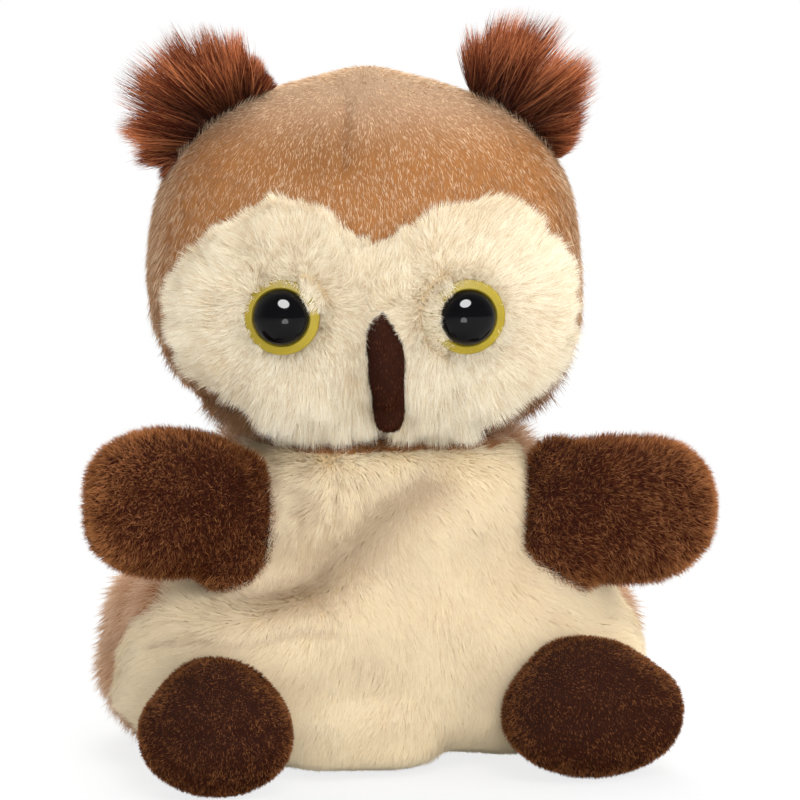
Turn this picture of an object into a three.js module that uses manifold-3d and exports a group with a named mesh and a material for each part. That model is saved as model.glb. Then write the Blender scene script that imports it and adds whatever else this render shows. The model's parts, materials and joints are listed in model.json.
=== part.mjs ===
// A small sitting plush owl, built the way it is sewn: pile panels over stuffing, with a pellet bag in
// the seat, moulded eyes held by washers, and limbs sewn on along a short line.
// Millimetres, +Z up. The owl sits on the floor at Z = 0 and faces -Y.
import * as THREE from "three";
import { mergeVertices } from "three/addons/utils/BufferGeometryUtils.js";
import Module from "manifold-3d";

const wasm = await Module();
wasm.setup();

// Cloth and clearances
const skinThickness = 2;
const limbSkinThickness = 1.4;
const seamGap = 0.3;
const floorFlat = 0.5;
const blendSharpness = 5;
const searchStep = 1;

// Body
const seatHalfWidth = 42.5;
const seatHalfDepth = 28;
const seatHalfHeight = 17.5;
const seatSquareness = 2.6;
const chestHalfWidth = 27.5;
const chestHalfDepth = 23.5;
const chestHalfHeight = 19.5;
const chestCentreHeight = 33;
const chestSquareness = 3;
const thighOffset = 21;
const thighForward = 10;
const thighRadius = 18;
const thighSquareness = 2.2;
const rumpBack = 9;
const rumpHalfWidth = 28;
const rumpHalfDepth = 18;
const rumpHalfHeight = 16;
const rumpSquareness = 2.6;
const footSeamForward = 12;
const hipSeamForward = 5;
const hipSeamHeight = 16;
const waistSeamForward = 20;
const waistSeamHeight = 31;
const wingSeamForward = 18;
const neckSeamForward = 8;
const pelletBagHalfWidth = 30;
const pelletBagHalfDepth = 18;
const pelletBagHeight = 15;
const pelletBagSquareness = 2.4;

// Neck
const neckHeight = 53;
const neckRadius = 9.5;
const neckSkinThickness = 1.2;
const neckSkinReach = 55;

// Head
const headCentreHeight = 81;
const headHalfWidth = 33.4;
const headHalfDepth = 27.5;
const headHalfHeight = 28;
const headSquareness = 2.3;
const cheekOffset = 14.6;
const cheekForward = 8;
const cheekHeight = 73.2;
const cheekRadius = 18;
const headTurn = -8.5;
const headTurnRange = 35;
const headNodRange = 12;
const faceSeamDepth = 10.5;
const browPeakOffset = 13.5;
const browPeakHeight = 89;
const browDipHeight = 84;
const browSideHeight = 74.5;
const napeSeamHeight = 71;
const napeSeamSlope = 0.35;

// Eyes
const eyeOffset = 14.4;
const eyeHeight = 73.5;
const eyeRadius = 6;
const eyeRimThickness = 1.6;
const eyeSink = 0.6;
const eyeEdgeRound = 0.4;
const eyeLipWidth = 0.5;
const eyeLipDrop = 0.15;
const eyeShoulder = 0.6;
const pupilRadius = 4.6;
const pupilHeight = 2.9;
const pupilSeat = 0.5;
const pupilWall = 0.5;
const pupilSteps = 6;
const shankRadius = 1.5;
const shankLength = 8;
const washerRadius = 5.2;
const washerThickness = 1.2;
const washerDepth = 1.9;
const socketOverlap = 1;

// Beak
const beakTopHeight = 74.5;
const beakOffset = 1.4;
const beakBottomHeight = 55.5;
const beakHalfWidth = 3.3;
const beakRise = 4.2;
const beakSkinThickness = 0.8;

// Ear tufts
const tuftLocks = 7;
const tuftSides = 7;
const tuftInnerAngle = 31;
const tuftOuterAngle = 66;
const tuftInnerFan = -20;
const tuftOuterFan = 98;
const tuftLength = 13;
const tuftEndLength = 10.4;
const tuftLockRadius = 3.2;
const tuftRoot = 3;
const tuftLean = 0.15;

// Wings
const wingLength = 27.5;
const wingHalfHeight = 11.8;
const wingHalfThickness = 5.6;
const wingRootOffset = { left: 21.6, right: 24 };
const wingRootForward = 17;
const wingRootHeight = 41;
const wingRootTilt = 8;
const wingSweep = 14;
const wingDroop = { left: 0, right: 10 };
const wingSquareness = 2.6;
const wingSwingForward = 35;
const wingSwingBack = 30;

// Feet
const footHalfWidth = { left: 11.8, right: 14.3 };
const footHalfDepth = 9.2;
const footHalfHeight = { left: 11.1, right: 11.5 };
const footSquareness = 2.2;
const footOffset = 30;
const footForward = 32;
const footTurn = 8;
const footHingeHeight = 15;
const footHingeForward = 26;
const footFlopUp = 35;
const footFlopDown = 4;

// Facets of the soft forms
const skinColumns = 28;
const skinRows = 15;
const innerColumns = 16;
const innerRows = 10;
const limbColumns = 16;
const limbRows = 10;
const limbInnerColumns = 12;
const limbInnerRows = 7;
const roundSegments = 18;
const sleeveSteps = 5;
const seamSteps = 14;
const swingSteps = 4;
const nodSteps = 2;

const reach = 120;
const weldDistance = 1e-4;

const palette = {
  cream: { color: 0xeedab2, roughness: 0.95 },
  tan: { color: 0xc0935f, roughness: 0.95 },
  nape: { color: 0x8a5a38, roughness: 0.95 },
  darkBrown: { color: 0x4e2a1b, roughness: 0.95 },
  footBrown: { color: 0x452a1f, roughness: 0.95 },
  tuft: { color: 0x6a3423, roughness: 0.95 },
  iris: { color: 0xc8a547, roughness: 0.35 },
  pupil: { color: 0x0b0a0c, roughness: 0.05 },
  washer: { color: 0xe6e6e0, roughness: 0.5 },
  stuffing: { color: 0xf4f4f2, roughness: 1 },
  pellets: { color: 0xdcd8cc, roughness: 0.9 },
};

// Solids from geometry and back, and the joins and cuts between them.

function solidOf(geometry) {
  const bare = geometry.index ? geometry.toNonIndexed() : geometry.clone();
  bare.deleteAttribute("normal");
  bare.deleteAttribute("uv");
  const merged = mergeVertices(bare, weldDistance);
  const mesh = new wasm.Mesh({
    numProp: 3,
    vertProperties: new Float32Array(merged.attributes.position.array),
    triVerts: new Uint32Array(merged.index.array),
  });
  return new wasm.Manifold(mesh);
}

function geometryOf(solid) {
  const { vertProperties, triVerts } = solid.getMesh();
  const geometry = new THREE.BufferGeometry();
  geometry.setAttribute("position", new THREE.BufferAttribute(new Float32Array(vertProperties), 3));
  geometry.setIndex(new THREE.BufferAttribute(new Uint32Array(triVerts), 1));
  return geometry;
}

function moved(solid, matrix) {
  return solidOf(geometryOf(solid).applyMatrix4(matrix));
}

function withoutAll(solid, cutters) {
  return cutters.reduce((left, cutter) => left.subtract(cutter), solid);
}

function piece(name, solid, look) {
  const geometry = geometryOf(solid).toNonIndexed();
  geometry.computeVertexNormals();
  const mesh = new THREE.Mesh(geometry, new THREE.MeshStandardMaterial({ metalness: 0, ...palette[look] }));
  mesh.name = name;
  return mesh;
}

// Soft forms: a few stuffed lobes that swell into one another. Each lobe is a rounded ball, and the
// form's surface lies where the lobes' summed pull reaches one.

function lobe(centre, radii, power = 2) {
  return { centre, radii, power };
}

function grown(lobes, amount) {
  return lobes.map(({ centre, radii, power }) => lobe(centre, radii.map((r) => r + amount), power));
}

function pull(lobes, point) {
  let sum = 0;
  for (const { centre, radii, power } of lobes) {
    const distance = radii.reduce((q, r, k) => q + Math.abs((point[k] - centre[k]) / r) ** power, 0);
    sum += Math.exp(blendSharpness * (1 - distance));
  }
  return sum - 1;
}

// The distance from the origin to the form's outer surface along one direction.
function surfaceDistance(lobes, origin, direction) {
  const at = (t) => pull(lobes, origin.map((o, k) => o + direction[k] * t));
  let outer = reach;
  while (outer > searchStep && at(outer) < 0) outer -= searchStep;
  let inner = outer;
  outer += searchStep;
  for (let k = 0; k < 24; k++) {
    const middle = (inner + outer) / 2;
    if (at(middle) < 0) outer = middle;
    else inner = middle;
  }
  return (inner + outer) / 2;
}

// A closed skin of points round the origin, from the bottom pole to the top pole.
function softBody(lobes, origin, columns, rows) {
  const points = [];
  const faces = [];
  const put = (polar, around) => {
    const direction = [
      Math.sin(polar) * Math.cos(around),
      Math.sin(polar) * Math.sin(around),
      -Math.cos(polar),
    ];
    const t = surfaceDistance(lobes, origin, direction);
    points.push(...origin.map((o, k) => o + direction[k] * t));
  };
  put(0, 0);
  for (let row = 1; row < rows; row++)
    for (let column = 0; column < columns; column++)
      put((Math.PI * row) / rows, (2 * Math.PI * column) / columns);
  put(Math.PI, 0);
  const top = points.length / 3 - 1;
  for (let column = 0; column < columns; column++) {
    const next = (column + 1) % columns;
    faces.push(0, 1 + next, 1 + column);
    for (let row = 0; row < rows - 2; row++) {
      const a = 1 + row * columns + column;
      const b = 1 + row * columns + next;
      faces.push(a, b, b + columns, a, b + columns, a + columns);
    }
    faces.push(1 + (rows - 2) * columns + column, 1 + (rows - 2) * columns + next, top);
  }
  const geometry = new THREE.BufferGeometry();
  geometry.setAttribute("position", new THREE.Float32BufferAttribute(points, 3));
  geometry.setIndex(faces);
  return solidOf(geometry);
}

// Cutting bodies

// A prism whose outline is given as (y, z) points and which runs along X.
function prismAlongX(outline, from = -reach, to = reach) {
  const shape = new THREE.Shape(outline.map(([y, z]) => new THREE.Vector2(y, z)));
  const geometry = new THREE.ExtrudeGeometry(shape, { depth: to - from, bevelEnabled: false });
  const turn = new THREE.Matrix4().makeBasis(
    new THREE.Vector3(0, 1, 0),
    new THREE.Vector3(0, 0, 1),
    new THREE.Vector3(1, 0, 0),
  );
  return solidOf(geometry.applyMatrix4(turn).translate(from, 0, 0));
}

// A prism whose outline is given as (x, z) points and which runs along Y.
function prismAlongY(outline, from = -reach, to = reach) {
  const shape = new THREE.Shape(outline.map(([x, z]) => new THREE.Vector2(x, z)));
  const geometry = new THREE.ExtrudeGeometry(shape, { depth: to - from, bevelEnabled: false });
  return solidOf(geometry.rotateX(Math.PI / 2).translate(0, to, 0));
}

function box(low, high) {
  const size = high.map((h, k) => h - low[k]);
  const geometry = new THREE.BoxGeometry(...size);
  return solidOf(geometry.translate(...low.map((l, k) => l + size[k] / 2)));
}

function turnedProfile(profile, segments = roundSegments) {
  const points = profile.map(([r, z]) => new THREE.Vector2(r, z));
  return solidOf(new THREE.LatheGeometry(points, segments).rotateX(Math.PI / 2));
}

function ball(centre, radius) {
  return solidOf(new THREE.SphereGeometry(radius, roundSegments, roundSegments / 2).translate(...centre));
}

const floorCut = box([-reach, -reach, -reach], [reach, reach, 0]);
const leftHalf = box([-reach, -reach, -reach], [-seamGap / 2, reach, reach]);
const rightHalf = box([seamGap / 2, -reach, -reach], [reach, reach, reach]);
const neckPoint = [0, 0, neckHeight];

// Body: a wide flattened seat with two thighs and a flat rump, and a narrower chest that rises from it.

const thighRadii = [thighRadius, thighRadius, thighRadius];
const rumpRadii = [rumpHalfWidth, rumpHalfDepth, rumpHalfHeight];
const bodyLobes = [
  lobe([0, 0, seatHalfHeight], [seatHalfWidth, seatHalfDepth, seatHalfHeight], seatSquareness),
  lobe([0, 0, chestCentreHeight], [chestHalfWidth, chestHalfDepth, chestHalfHeight], chestSquareness),
  lobe([-thighOffset, -thighForward, thighRadius], thighRadii, thighSquareness),
  lobe([thighOffset, -thighForward, thighRadius], thighRadii, thighSquareness),
  lobe([0, rumpBack, rumpHalfHeight + floorFlat], rumpRadii, rumpSquareness),
];
const bodyCentre = [0, 0, (chestCentreHeight + seatHalfHeight) / 2];

function bodySolid(amount, columns, rows) {
  return softBody(grown(bodyLobes, amount), bodyCentre, columns, rows);
}

// The side seam's place front to back at each height: it runs back round the hip, forward to the waist
// and the wing's root, and back again to the neck.
const sideSeamPlaces = [
  { height: 0, forward: footSeamForward },
  { height: hipSeamHeight, forward: hipSeamForward },
  { height: waistSeamHeight, forward: waistSeamForward },
  { height: wingRootHeight, forward: wingSeamForward },
  { height: neckHeight, forward: neckSeamForward },
];

function sideSeam(z) {
  const { smoothstep } = THREE.MathUtils;
  return sideSeamPlaces.slice(1).reduce((y, { height, forward }, k) => {
    const before = sideSeamPlaces[k];
    return y - (forward - before.forward) * smoothstep(z, before.height, height);
  }, -footSeamForward);
}

// The space in front of the side seam, moved back by the gap.
function bellySide(gap) {
  const outline = [[-reach, -reach]];
  for (let k = 0; k <= seamSteps; k++) {
    const z = (neckHeight * k) / seamSteps;
    outline.push([sideSeam(z) + gap, z]);
  }
  outline.push([sideSeam(neckHeight) + gap, reach], [-reach, reach]);
  return prismAlongX(outline);
}

function bodyPieces() {
  const neckCut = ball(neckPoint, neckRadius + seamGap);
  const outer = bodySolid(0, skinColumns, skinRows).subtract(floorCut);
  const hollow = bodySolid(-skinThickness, innerColumns, innerRows);
  const shell = outer.subtract(hollow).subtract(neckCut);
  const back = shell.subtract(bellySide(seamGap));
  const bag = lobe([0, 0, 0], [pelletBagHalfWidth, pelletBagHalfDepth, pelletBagHeight], pelletBagSquareness);
  const bagSpace = (gap) => softBody(grown([bag], gap), bag.centre, innerColumns, innerRows);
  const inside = bodySolid(-skinThickness - seamGap, innerColumns, innerRows);
  return [
    piece("belly_panel", shell.intersect(bellySide(0)), "cream"),
    piece("back_panel_left", back.intersect(leftHalf), "tan"),
    piece("back_panel_right", back.intersect(rightHalf), "tan"),
    piece("pellet_bag", inside.intersect(bagSpace(0)), "pellets"),
    piece("body_fill", inside.subtract(bagSpace(seamGap)).subtract(neckCut), "stuffing"),
  ];
}

// The places that the body takes, as a piece on the hinge sees it, at even steps of the piece's swing.
function swingMatrices(hinge, axis, from, to, steps) {
  return Array.from({ length: steps + 1 }, (_, k) => {
    const angle = THREE.MathUtils.degToRad(from + ((to - from) * k) / steps);
    return new THREE.Matrix4()
      .makeTranslation(hinge)
      .multiply(new THREE.Matrix4().makeRotationAxis(axis, -angle))
      .multiply(new THREE.Matrix4().makeTranslation(hinge.clone().negate()));
  });
}

// The body's solid, grown, at each of those places.
function bodySeenFrom(places, amount) {
  const body = bodySolid(amount, skinColumns, skinRows);
  return places.map((place) => moved(body, place));
}

// Neck: a plug of stuffing in a short cloth sleeve. It is round, so that the head can turn and nod on it.

function neckPieces() {
  const arc = (radius, from, to) =>
    Array.from({ length: sleeveSteps + 1 }, (_, k) => {
      const angle = THREE.MathUtils.degToRad(from + ((to - from) * k) / sleeveSteps);
      return [radius * Math.cos(angle), radius * Math.sin(angle)];
    });
  const outside = arc(neckRadius, -neckSkinReach, neckSkinReach);
  const inside = arc(neckRadius - neckSkinThickness, neckSkinReach, -neckSkinReach);
  const sleeve = turnedProfile([...outside, ...inside, outside[0]]);
  const lift = new THREE.Matrix4().makeTranslation(...neckPoint);
  return [
    piece("neck_skin", moved(sleeve, lift), "tan"),
    piece("neck_fill", ball(neckPoint, neckRadius - neckSkinThickness - seamGap), "stuffing"),
  ];
}

// Head: a wide ball, flattened front to back, with full cheeks.

const headCentre = [0, 0, headCentreHeight];
const headLobes = [
  lobe(headCentre, [headHalfWidth, headHalfDepth, headHalfHeight], headSquareness),
  lobe([-cheekOffset, -cheekForward, cheekHeight], [cheekRadius, cheekRadius, cheekRadius]),
  lobe([cheekOffset, -cheekForward, cheekHeight], [cheekRadius, cheekRadius, cheekRadius]),
];

function headSolid(amount, columns, rows) {
  return softBody(grown(headLobes, amount), headCentre, columns, rows);
}

// The place and outward direction of the head's front at a given X and height.
function faceFrame(x, z) {
  const front = (px, pz) => {
    let y = -reach;
    while (y < 0 && pull(headLobes, [px, y, pz]) < 0) y += searchStep / 20;
    return new THREE.Vector3(px, y, pz);
  };
  const place = front(x, z);
  const across = front(x + searchStep, z).sub(front(x - searchStep, z));
  const up = front(x, z + searchStep).sub(front(x, z - searchStep));
  return { place, normal: across.cross(up).normalize() };
}

// The upper edge of the face panel: two brow peaks with a dip between them.
function browHeight(x) {
  const { lerp } = THREE.MathUtils;
  const side = Math.abs(x);
  const climb = Math.sin((Math.PI / 2) * (side / browPeakOffset)) ** 2;
  if (side <= browPeakOffset) return lerp(browDipHeight, browPeakHeight, climb);
  const out = (side - browPeakOffset) / (headHalfWidth - browPeakOffset);
  return lerp(browPeakHeight, browSideHeight, out ** 1.5);
}

function faceSide(gap) {
  const outline = [[-reach, -reach], [reach, -reach], [reach, browSideHeight + gap]];
  for (let k = -seamSteps; k <= seamSteps; k++) {
    const x = (-headHalfWidth * k) / seamSteps;
    outline.push([x, browHeight(x) + gap]);
  }
  outline.push([-reach, browSideHeight + gap]);
  return prismAlongY(outline, -reach, -faceSeamDepth + gap);
}

// The space above the nape seam, which climbs towards the back.
function crownSide(gap) {
  const edge = (y) => napeSeamHeight + napeSeamSlope * y - gap;
  return prismAlongX([[-reach, edge(-reach)], [reach, edge(reach)], [reach, reach * 2], [-reach, reach * 2]]);
}

// Eyes: a flanged disc on a shank, a domed pupil in its seat, and a washer inside the cloth.

function eyeProfiles() {
  const rim = eyeRimThickness;
  return {
    iris: [
      [0, -shankLength],
      [shankRadius, -shankLength],
      [shankRadius, 0],
      [eyeRadius - eyeEdgeRound, 0],
      [eyeRadius, eyeEdgeRound],
      [eyeRadius, rim - eyeShoulder],
      [eyeRadius - eyeEdgeRound, rim - eyeLipDrop],
      [pupilRadius + eyeLipWidth, rim],
      [pupilRadius + seamGap, rim - eyeLipDrop],
      [pupilRadius + seamGap, rim - pupilSeat],
      [0, rim - pupilSeat],
    ],
    pupil: domeProfile(pupilRadius, pupilHeight, rim - pupilSeat + seamGap),
    washer: [
      [shankRadius + seamGap, -washerDepth - seamGap - washerThickness],
      [washerRadius, -washerDepth - seamGap - washerThickness],
      [washerRadius, -washerDepth - seamGap],
      [shankRadius + seamGap, -washerDepth - seamGap],
      [shankRadius + seamGap, -washerDepth - seamGap - washerThickness],
    ],
    discSpace: [[0, -seamGap], [eyeRadius + seamGap, -seamGap], [eyeRadius + seamGap, reach], [0, reach]],
    shankSpace: [
      [0, -shankLength - seamGap],
      [shankRadius + seamGap, -shankLength - seamGap],
      [shankRadius + seamGap, socketOverlap],
      [0, socketOverlap],
    ],
    washerSpace: [
      [0, -shankLength],
      [washerRadius + seamGap, -shankLength],
      [washerRadius + seamGap, -washerDepth],
      [0, -washerDepth],
    ],
    washerPocket: [
      [0, -washerDepth - washerThickness - seamGap * 2],
      [washerRadius + seamGap, -washerDepth - washerThickness - seamGap * 2],
      [washerRadius + seamGap, -socketOverlap],
      [0, -socketOverlap],
    ],
  };
}

function domeProfile(radius, height, base) {
  const profile = [[0, base], [radius, base]];
  for (let k = 1; k < pupilSteps; k++) {
    const angle = (Math.PI / 2) * (k / pupilSteps);
    profile.push([radius * Math.cos(angle), base + pupilWall + (height - pupilWall) * Math.sin(angle)]);
  }
  return [...profile, [0, base + height]];
}

function eyeSolids(side) {
  const { place, normal } = faceFrame(side * eyeOffset, eyeHeight);
  const seat = place.clone().addScaledVector(normal, -eyeSink);
  const turn = new THREE.Matrix4().makeRotationFromQuaternion(
    new THREE.Quaternion().setFromUnitVectors(new THREE.Vector3(0, 0, 1), normal),
  );
  const matrix = new THREE.Matrix4().makeTranslation(seat).multiply(turn);
  const solids = {};
  for (const [name, profile] of Object.entries(eyeProfiles()))
    solids[name] = moved(turnedProfile(profile), matrix);
  return solids;
}

// Beak: a narrow drop of short pile, pointed above and blunt below, sewn flat on the face.

// Its three lobes, from the lowest up: height, width, rise and length as shares of the whole beak.
const beakShares = [
  { height: 0.3, width: 1, rise: 1, length: 0.3 },
  { height: 0.55, width: 0.8, rise: 0.85, length: 0.3 },
  { height: 0.78, width: 0.55, rise: 0.5, length: 0.24 },
];

function beakLobes(amount) {
  const whole = beakTopHeight - beakBottomHeight;
  const lobes = beakShares.map(({ height, width, rise, length }) => {
    const z = beakBottomHeight + whole * height;
    const place = [beakOffset, faceFrame(beakOffset, z).place.y, z];
    return lobe(place, [beakHalfWidth * width, beakRise * rise, whole * length]);
  });
  return grown(lobes, amount);
}

function beakPieces() {
  const middle = (beakTopHeight + beakBottomHeight) / 2;
  const centre = [beakOffset, faceFrame(beakOffset, middle).place.y, middle];
  const solid = (amount) => softBody(beakLobes(amount), centre, limbInnerColumns, limbRows);
  const head = headSolid(seamGap, skinColumns, skinRows);
  const skin = solid(0).subtract(head);
  const hollow = solid(-beakSkinThickness);
  const fill = solid(-beakSkinThickness - seamGap).subtract(head);
  return [piece("beak_skin", skin.subtract(hollow), "footBrown"), piece("beak_fill", fill, "stuffing")];
}

// Ear tufts: a fan of long locks on a strip sewn along the crown's upper edge.

function tuftSolid(side) {
  let fan = null;
  const head = headSolid(seamGap, skinColumns, skinRows);
  for (let k = 0; k < tuftLocks; k++) {
    const share = k / (tuftLocks - 1);
    const angle = THREE.MathUtils.degToRad(tuftInnerAngle + (tuftOuterAngle - tuftInnerAngle) * share);
    const direction = [side * Math.sin(angle), 0, Math.cos(angle)];
    const from = surfaceDistance(headLobes, headCentre, direction) - tuftRoot;
    const length = tuftRoot + tuftEndLength + (tuftLength - tuftEndLength) * Math.sin(Math.PI * share);
    const fanAngle = THREE.MathUtils.degToRad(tuftInnerFan + (tuftOuterFan - tuftInnerFan) * share);
    const cone = new THREE.ConeGeometry(tuftLockRadius, length, tuftSides).translate(0, length / 2, 0);
    const axis = new THREE.Vector3(side * Math.sin(fanAngle), tuftLean, Math.cos(fanAngle)).normalize();
    const turn = new THREE.Quaternion().setFromUnitVectors(new THREE.Vector3(0, 1, 0), axis);
    const place = headCentre.map((c, axisIndex) => c + direction[axisIndex] * from);
    cone.applyMatrix4(new THREE.Matrix4().makeRotationFromQuaternion(turn)).translate(...place);
    const lock = solidOf(cone);
    fan = fan ? fan.add(lock) : lock;
  }
  return fan.subtract(head);
}

// The head's solid, shrunk, and cut back by the body as it meets it at each step of its turn and nod.
function headCutBack(amount, gap, columns, rows) {
  const neck = new THREE.Vector3(...neckPoint);
  const across = new THREE.Vector3(1, 0, 0);
  const upright = new THREE.Vector3(0, 0, 1);
  const nods = swingMatrices(neck, across, -headNodRange, headNodRange, nodSteps);
  const turns = swingMatrices(neck, upright, headTurn - headTurnRange, headTurn + headTurnRange, swingSteps);
  const places = nods.flatMap((nod) => turns.map((turn) => nod.clone().multiply(turn)));
  return withoutAll(headSolid(amount, columns, rows), bodySeenFrom(places, seamGap + gap));
}

function headPieces() {
  const neckCut = ball(neckPoint, neckRadius + seamGap);
  const outer = headCutBack(0, 0, skinColumns, skinRows);
  const hollow = headCutBack(-skinThickness, skinThickness, innerColumns, innerRows);
  const shell = outer.subtract(hollow).subtract(neckCut);
  const eyes = { left: eyeSolids(-1), right: eyeSolids(1) };
  const eyeCuts = Object.values(eyes).flatMap((eye) => [eye.discSpace, eye.shankSpace, eye.washerSpace]);
  const pockets = Object.values(eyes).flatMap((eye) => [eye.shankSpace, eye.washerPocket]);
  const behindFace = shell.subtract(faceSide(seamGap));
  const back = behindFace.subtract(crownSide(seamGap));
  const inside = headCutBack(-skinThickness - seamGap, skinThickness + seamGap, innerColumns, innerRows);
  const pieces = [
    piece("face_panel", withoutAll(shell.intersect(faceSide(0)), eyeCuts), "cream"),
    piece("crown_panel", behindFace.intersect(crownSide(0)), "tan"),
    piece("head_back_left", back.intersect(leftHalf), "nape"),
    piece("head_back_right", back.intersect(rightHalf), "nape"),
    piece("head_fill", withoutAll(inside.subtract(neckCut), pockets), "stuffing"),
    piece("ear_tuft_left", tuftSolid(-1), "tuft"),
    piece("ear_tuft_right", tuftSolid(1), "tuft"),
    ...beakPieces(),
  ];
  for (const [side, eye] of Object.entries(eyes))
    pieces.push(
      piece(`eye_${side}_iris`, eye.iris, "iris"),
      piece(`eye_${side}_pupil`, eye.pupil, "pupil"),
      piece(`eye_${side}_washer`, eye.washer, "washer"),
    );
  return pieces;
}

// Limbs: each is cut back where the body would meet it anywhere in its swing, so it moves freely.


// One limb's two skins and its stuffing, from its own lobes and their place on the body.
function limbSolids({ lobes, centre, place, hinge, axis, from, to, split }) {
  const cutBack = (amount, gap, columns, rows) =>
    withoutAll(
      moved(softBody(grown(lobes, amount), centre, columns, rows), place),
      bodySeenFrom(swingMatrices(hinge, axis, from, to, swingSteps), seamGap + gap),
    );
  const outer = cutBack(0, 0, limbColumns, limbRows).subtract(floorCut);
  const hollow = cutBack(-limbSkinThickness, limbSkinThickness, limbInnerColumns, limbInnerRows);
  const depth = limbSkinThickness + seamGap;
  const fill = cutBack(-depth, depth, limbInnerColumns, limbInnerRows);
  const shell = outer.subtract(hollow);
  return {
    front: shell.intersect(moved(split(0), place)),
    back: shell.subtract(moved(split(seamGap), place)),
    fill,
  };
}

// A wing's two lobes, the paddle and its sewn root, as shares of the wing's sizes.
const wingShares = [
  { along: 0.52, length: 0.5, thickness: 1, height: 1 },
  { along: 0.14, length: 0.22, thickness: 0.6, height: 0.85 },
];

function wingPieces(sideName, side) {
  const lobes = wingShares.map(({ along, length, thickness, height }) => {
    const radii = [wingLength * length, wingHalfThickness * thickness, wingHalfHeight * height];
    return lobe([side * wingLength * along, 0, 0], radii, wingSquareness);
  });
  const hinge = new THREE.Vector3(side * wingRootOffset[sideName], -wingRootForward, wingRootHeight);
  const droop = THREE.MathUtils.degToRad(side * (wingDroop[sideName] - wingRootTilt));
  const place = new THREE.Matrix4()
    .makeTranslation(hinge)
    .multiply(new THREE.Matrix4().makeRotationY(droop))
    .multiply(new THREE.Matrix4().makeRotationZ(THREE.MathUtils.degToRad(-side * wingSweep)));
  const axis = new THREE.Vector3(0, 0, 1).transformDirection(place);
  const limb = limbSolids({
    lobes,
    centre: [side * wingLength * 0.5, 0, 0],
    place,
    hinge,
    axis,
    from: side > 0 ? -wingSwingForward : -wingSwingBack,
    to: side > 0 ? wingSwingBack : wingSwingForward,
    split: (gap) => box([-reach, -reach, -reach], [reach, gap, reach]),
  });
  return {
    joint: { hinge, axis },
    pieces: [
      piece(`wing_${sideName}_front`, limb.front, "darkBrown"),
      piece(`wing_${sideName}_back`, limb.back, "darkBrown"),
      piece(`wing_${sideName}_fill`, limb.fill, "stuffing"),
    ],
  };
}

function footPieces(sideName, side) {
  const halfHeight = footHalfHeight[sideName];
  const radii = [footHalfWidth[sideName], footHalfDepth, halfHeight];
  const lobes = [lobe([0, 0, halfHeight - floorFlat], radii, footSquareness)];
  const place = new THREE.Matrix4()
    .makeTranslation(side * footOffset, -footForward, 0)
    .multiply(new THREE.Matrix4().makeRotationZ(THREE.MathUtils.degToRad(side * footTurn)));
  const hinge = new THREE.Vector3(side * footOffset, -footHingeForward, footHingeHeight);
  const axis = new THREE.Vector3(1, 0, 0);
  const limb = limbSolids({
    lobes,
    centre: [0, 0, halfHeight],
    place,
    hinge,
    axis,
    from: -footFlopUp,
    to: footFlopDown,
    split: (gap) => box([-reach, -reach, -reach], [reach, gap, reach]),
  });
  return {
    joint: { hinge, axis },
    pieces: [
      piece(`foot_${sideName}_sole`, limb.front, "footBrown"),
      piece(`foot_${sideName}_upper`, limb.back, "footBrown"),
      piece(`foot_${sideName}_fill`, limb.fill, "stuffing"),
    ],
  };
}

// The whole owl, with its head turned and its outline centred over the origin.

const owl = new THREE.Group();
const joints = {
  neck: { hinge: new THREE.Vector3(...neckPoint), axis: new THREE.Vector3(0, 0, 1) },
};
owl.add(...bodyPieces());
owl.add(...neckPieces());
const head = new THREE.Group();
head.rotation.z = THREE.MathUtils.degToRad(headTurn);
head.add(...headPieces());
owl.add(head);
for (const [name, side] of [["left", -1], ["right", 1]]) {
  const wing = wingPieces(name, side);
  const foot = footPieces(name, side);
  owl.add(...wing.pieces, ...foot.pieces);
  joints[`wing_${name}`] = wing.joint;
  joints[`foot_${name}`] = foot.joint;
}
owl.updateMatrixWorld(true);
const outline = new THREE.Box3().setFromObject(owl, true);
owl.position.set(-(outline.min.x + outline.max.x) / 2, -(outline.min.y + outline.max.y) / 2, 0);
owl.userData.joints = joints;

export default owl;
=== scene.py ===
# %% [markdown]
# # A small sitting plush owl
#
# The real toy is sewn from pile cloth over stuffing, with a bag of pellets in its seat. Almost all that the
# eye sees of it is hair: a few hundred thousand short fibres that lean one way, part, and gather in small
# locks. This lesson builds the cloth skins first, as smooth surfaces worked out with numpy, and then grows
# the pile on them as real mesh strands, so that the outline of the toy is soft as well as its surface.

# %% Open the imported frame
import json
import math

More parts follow.
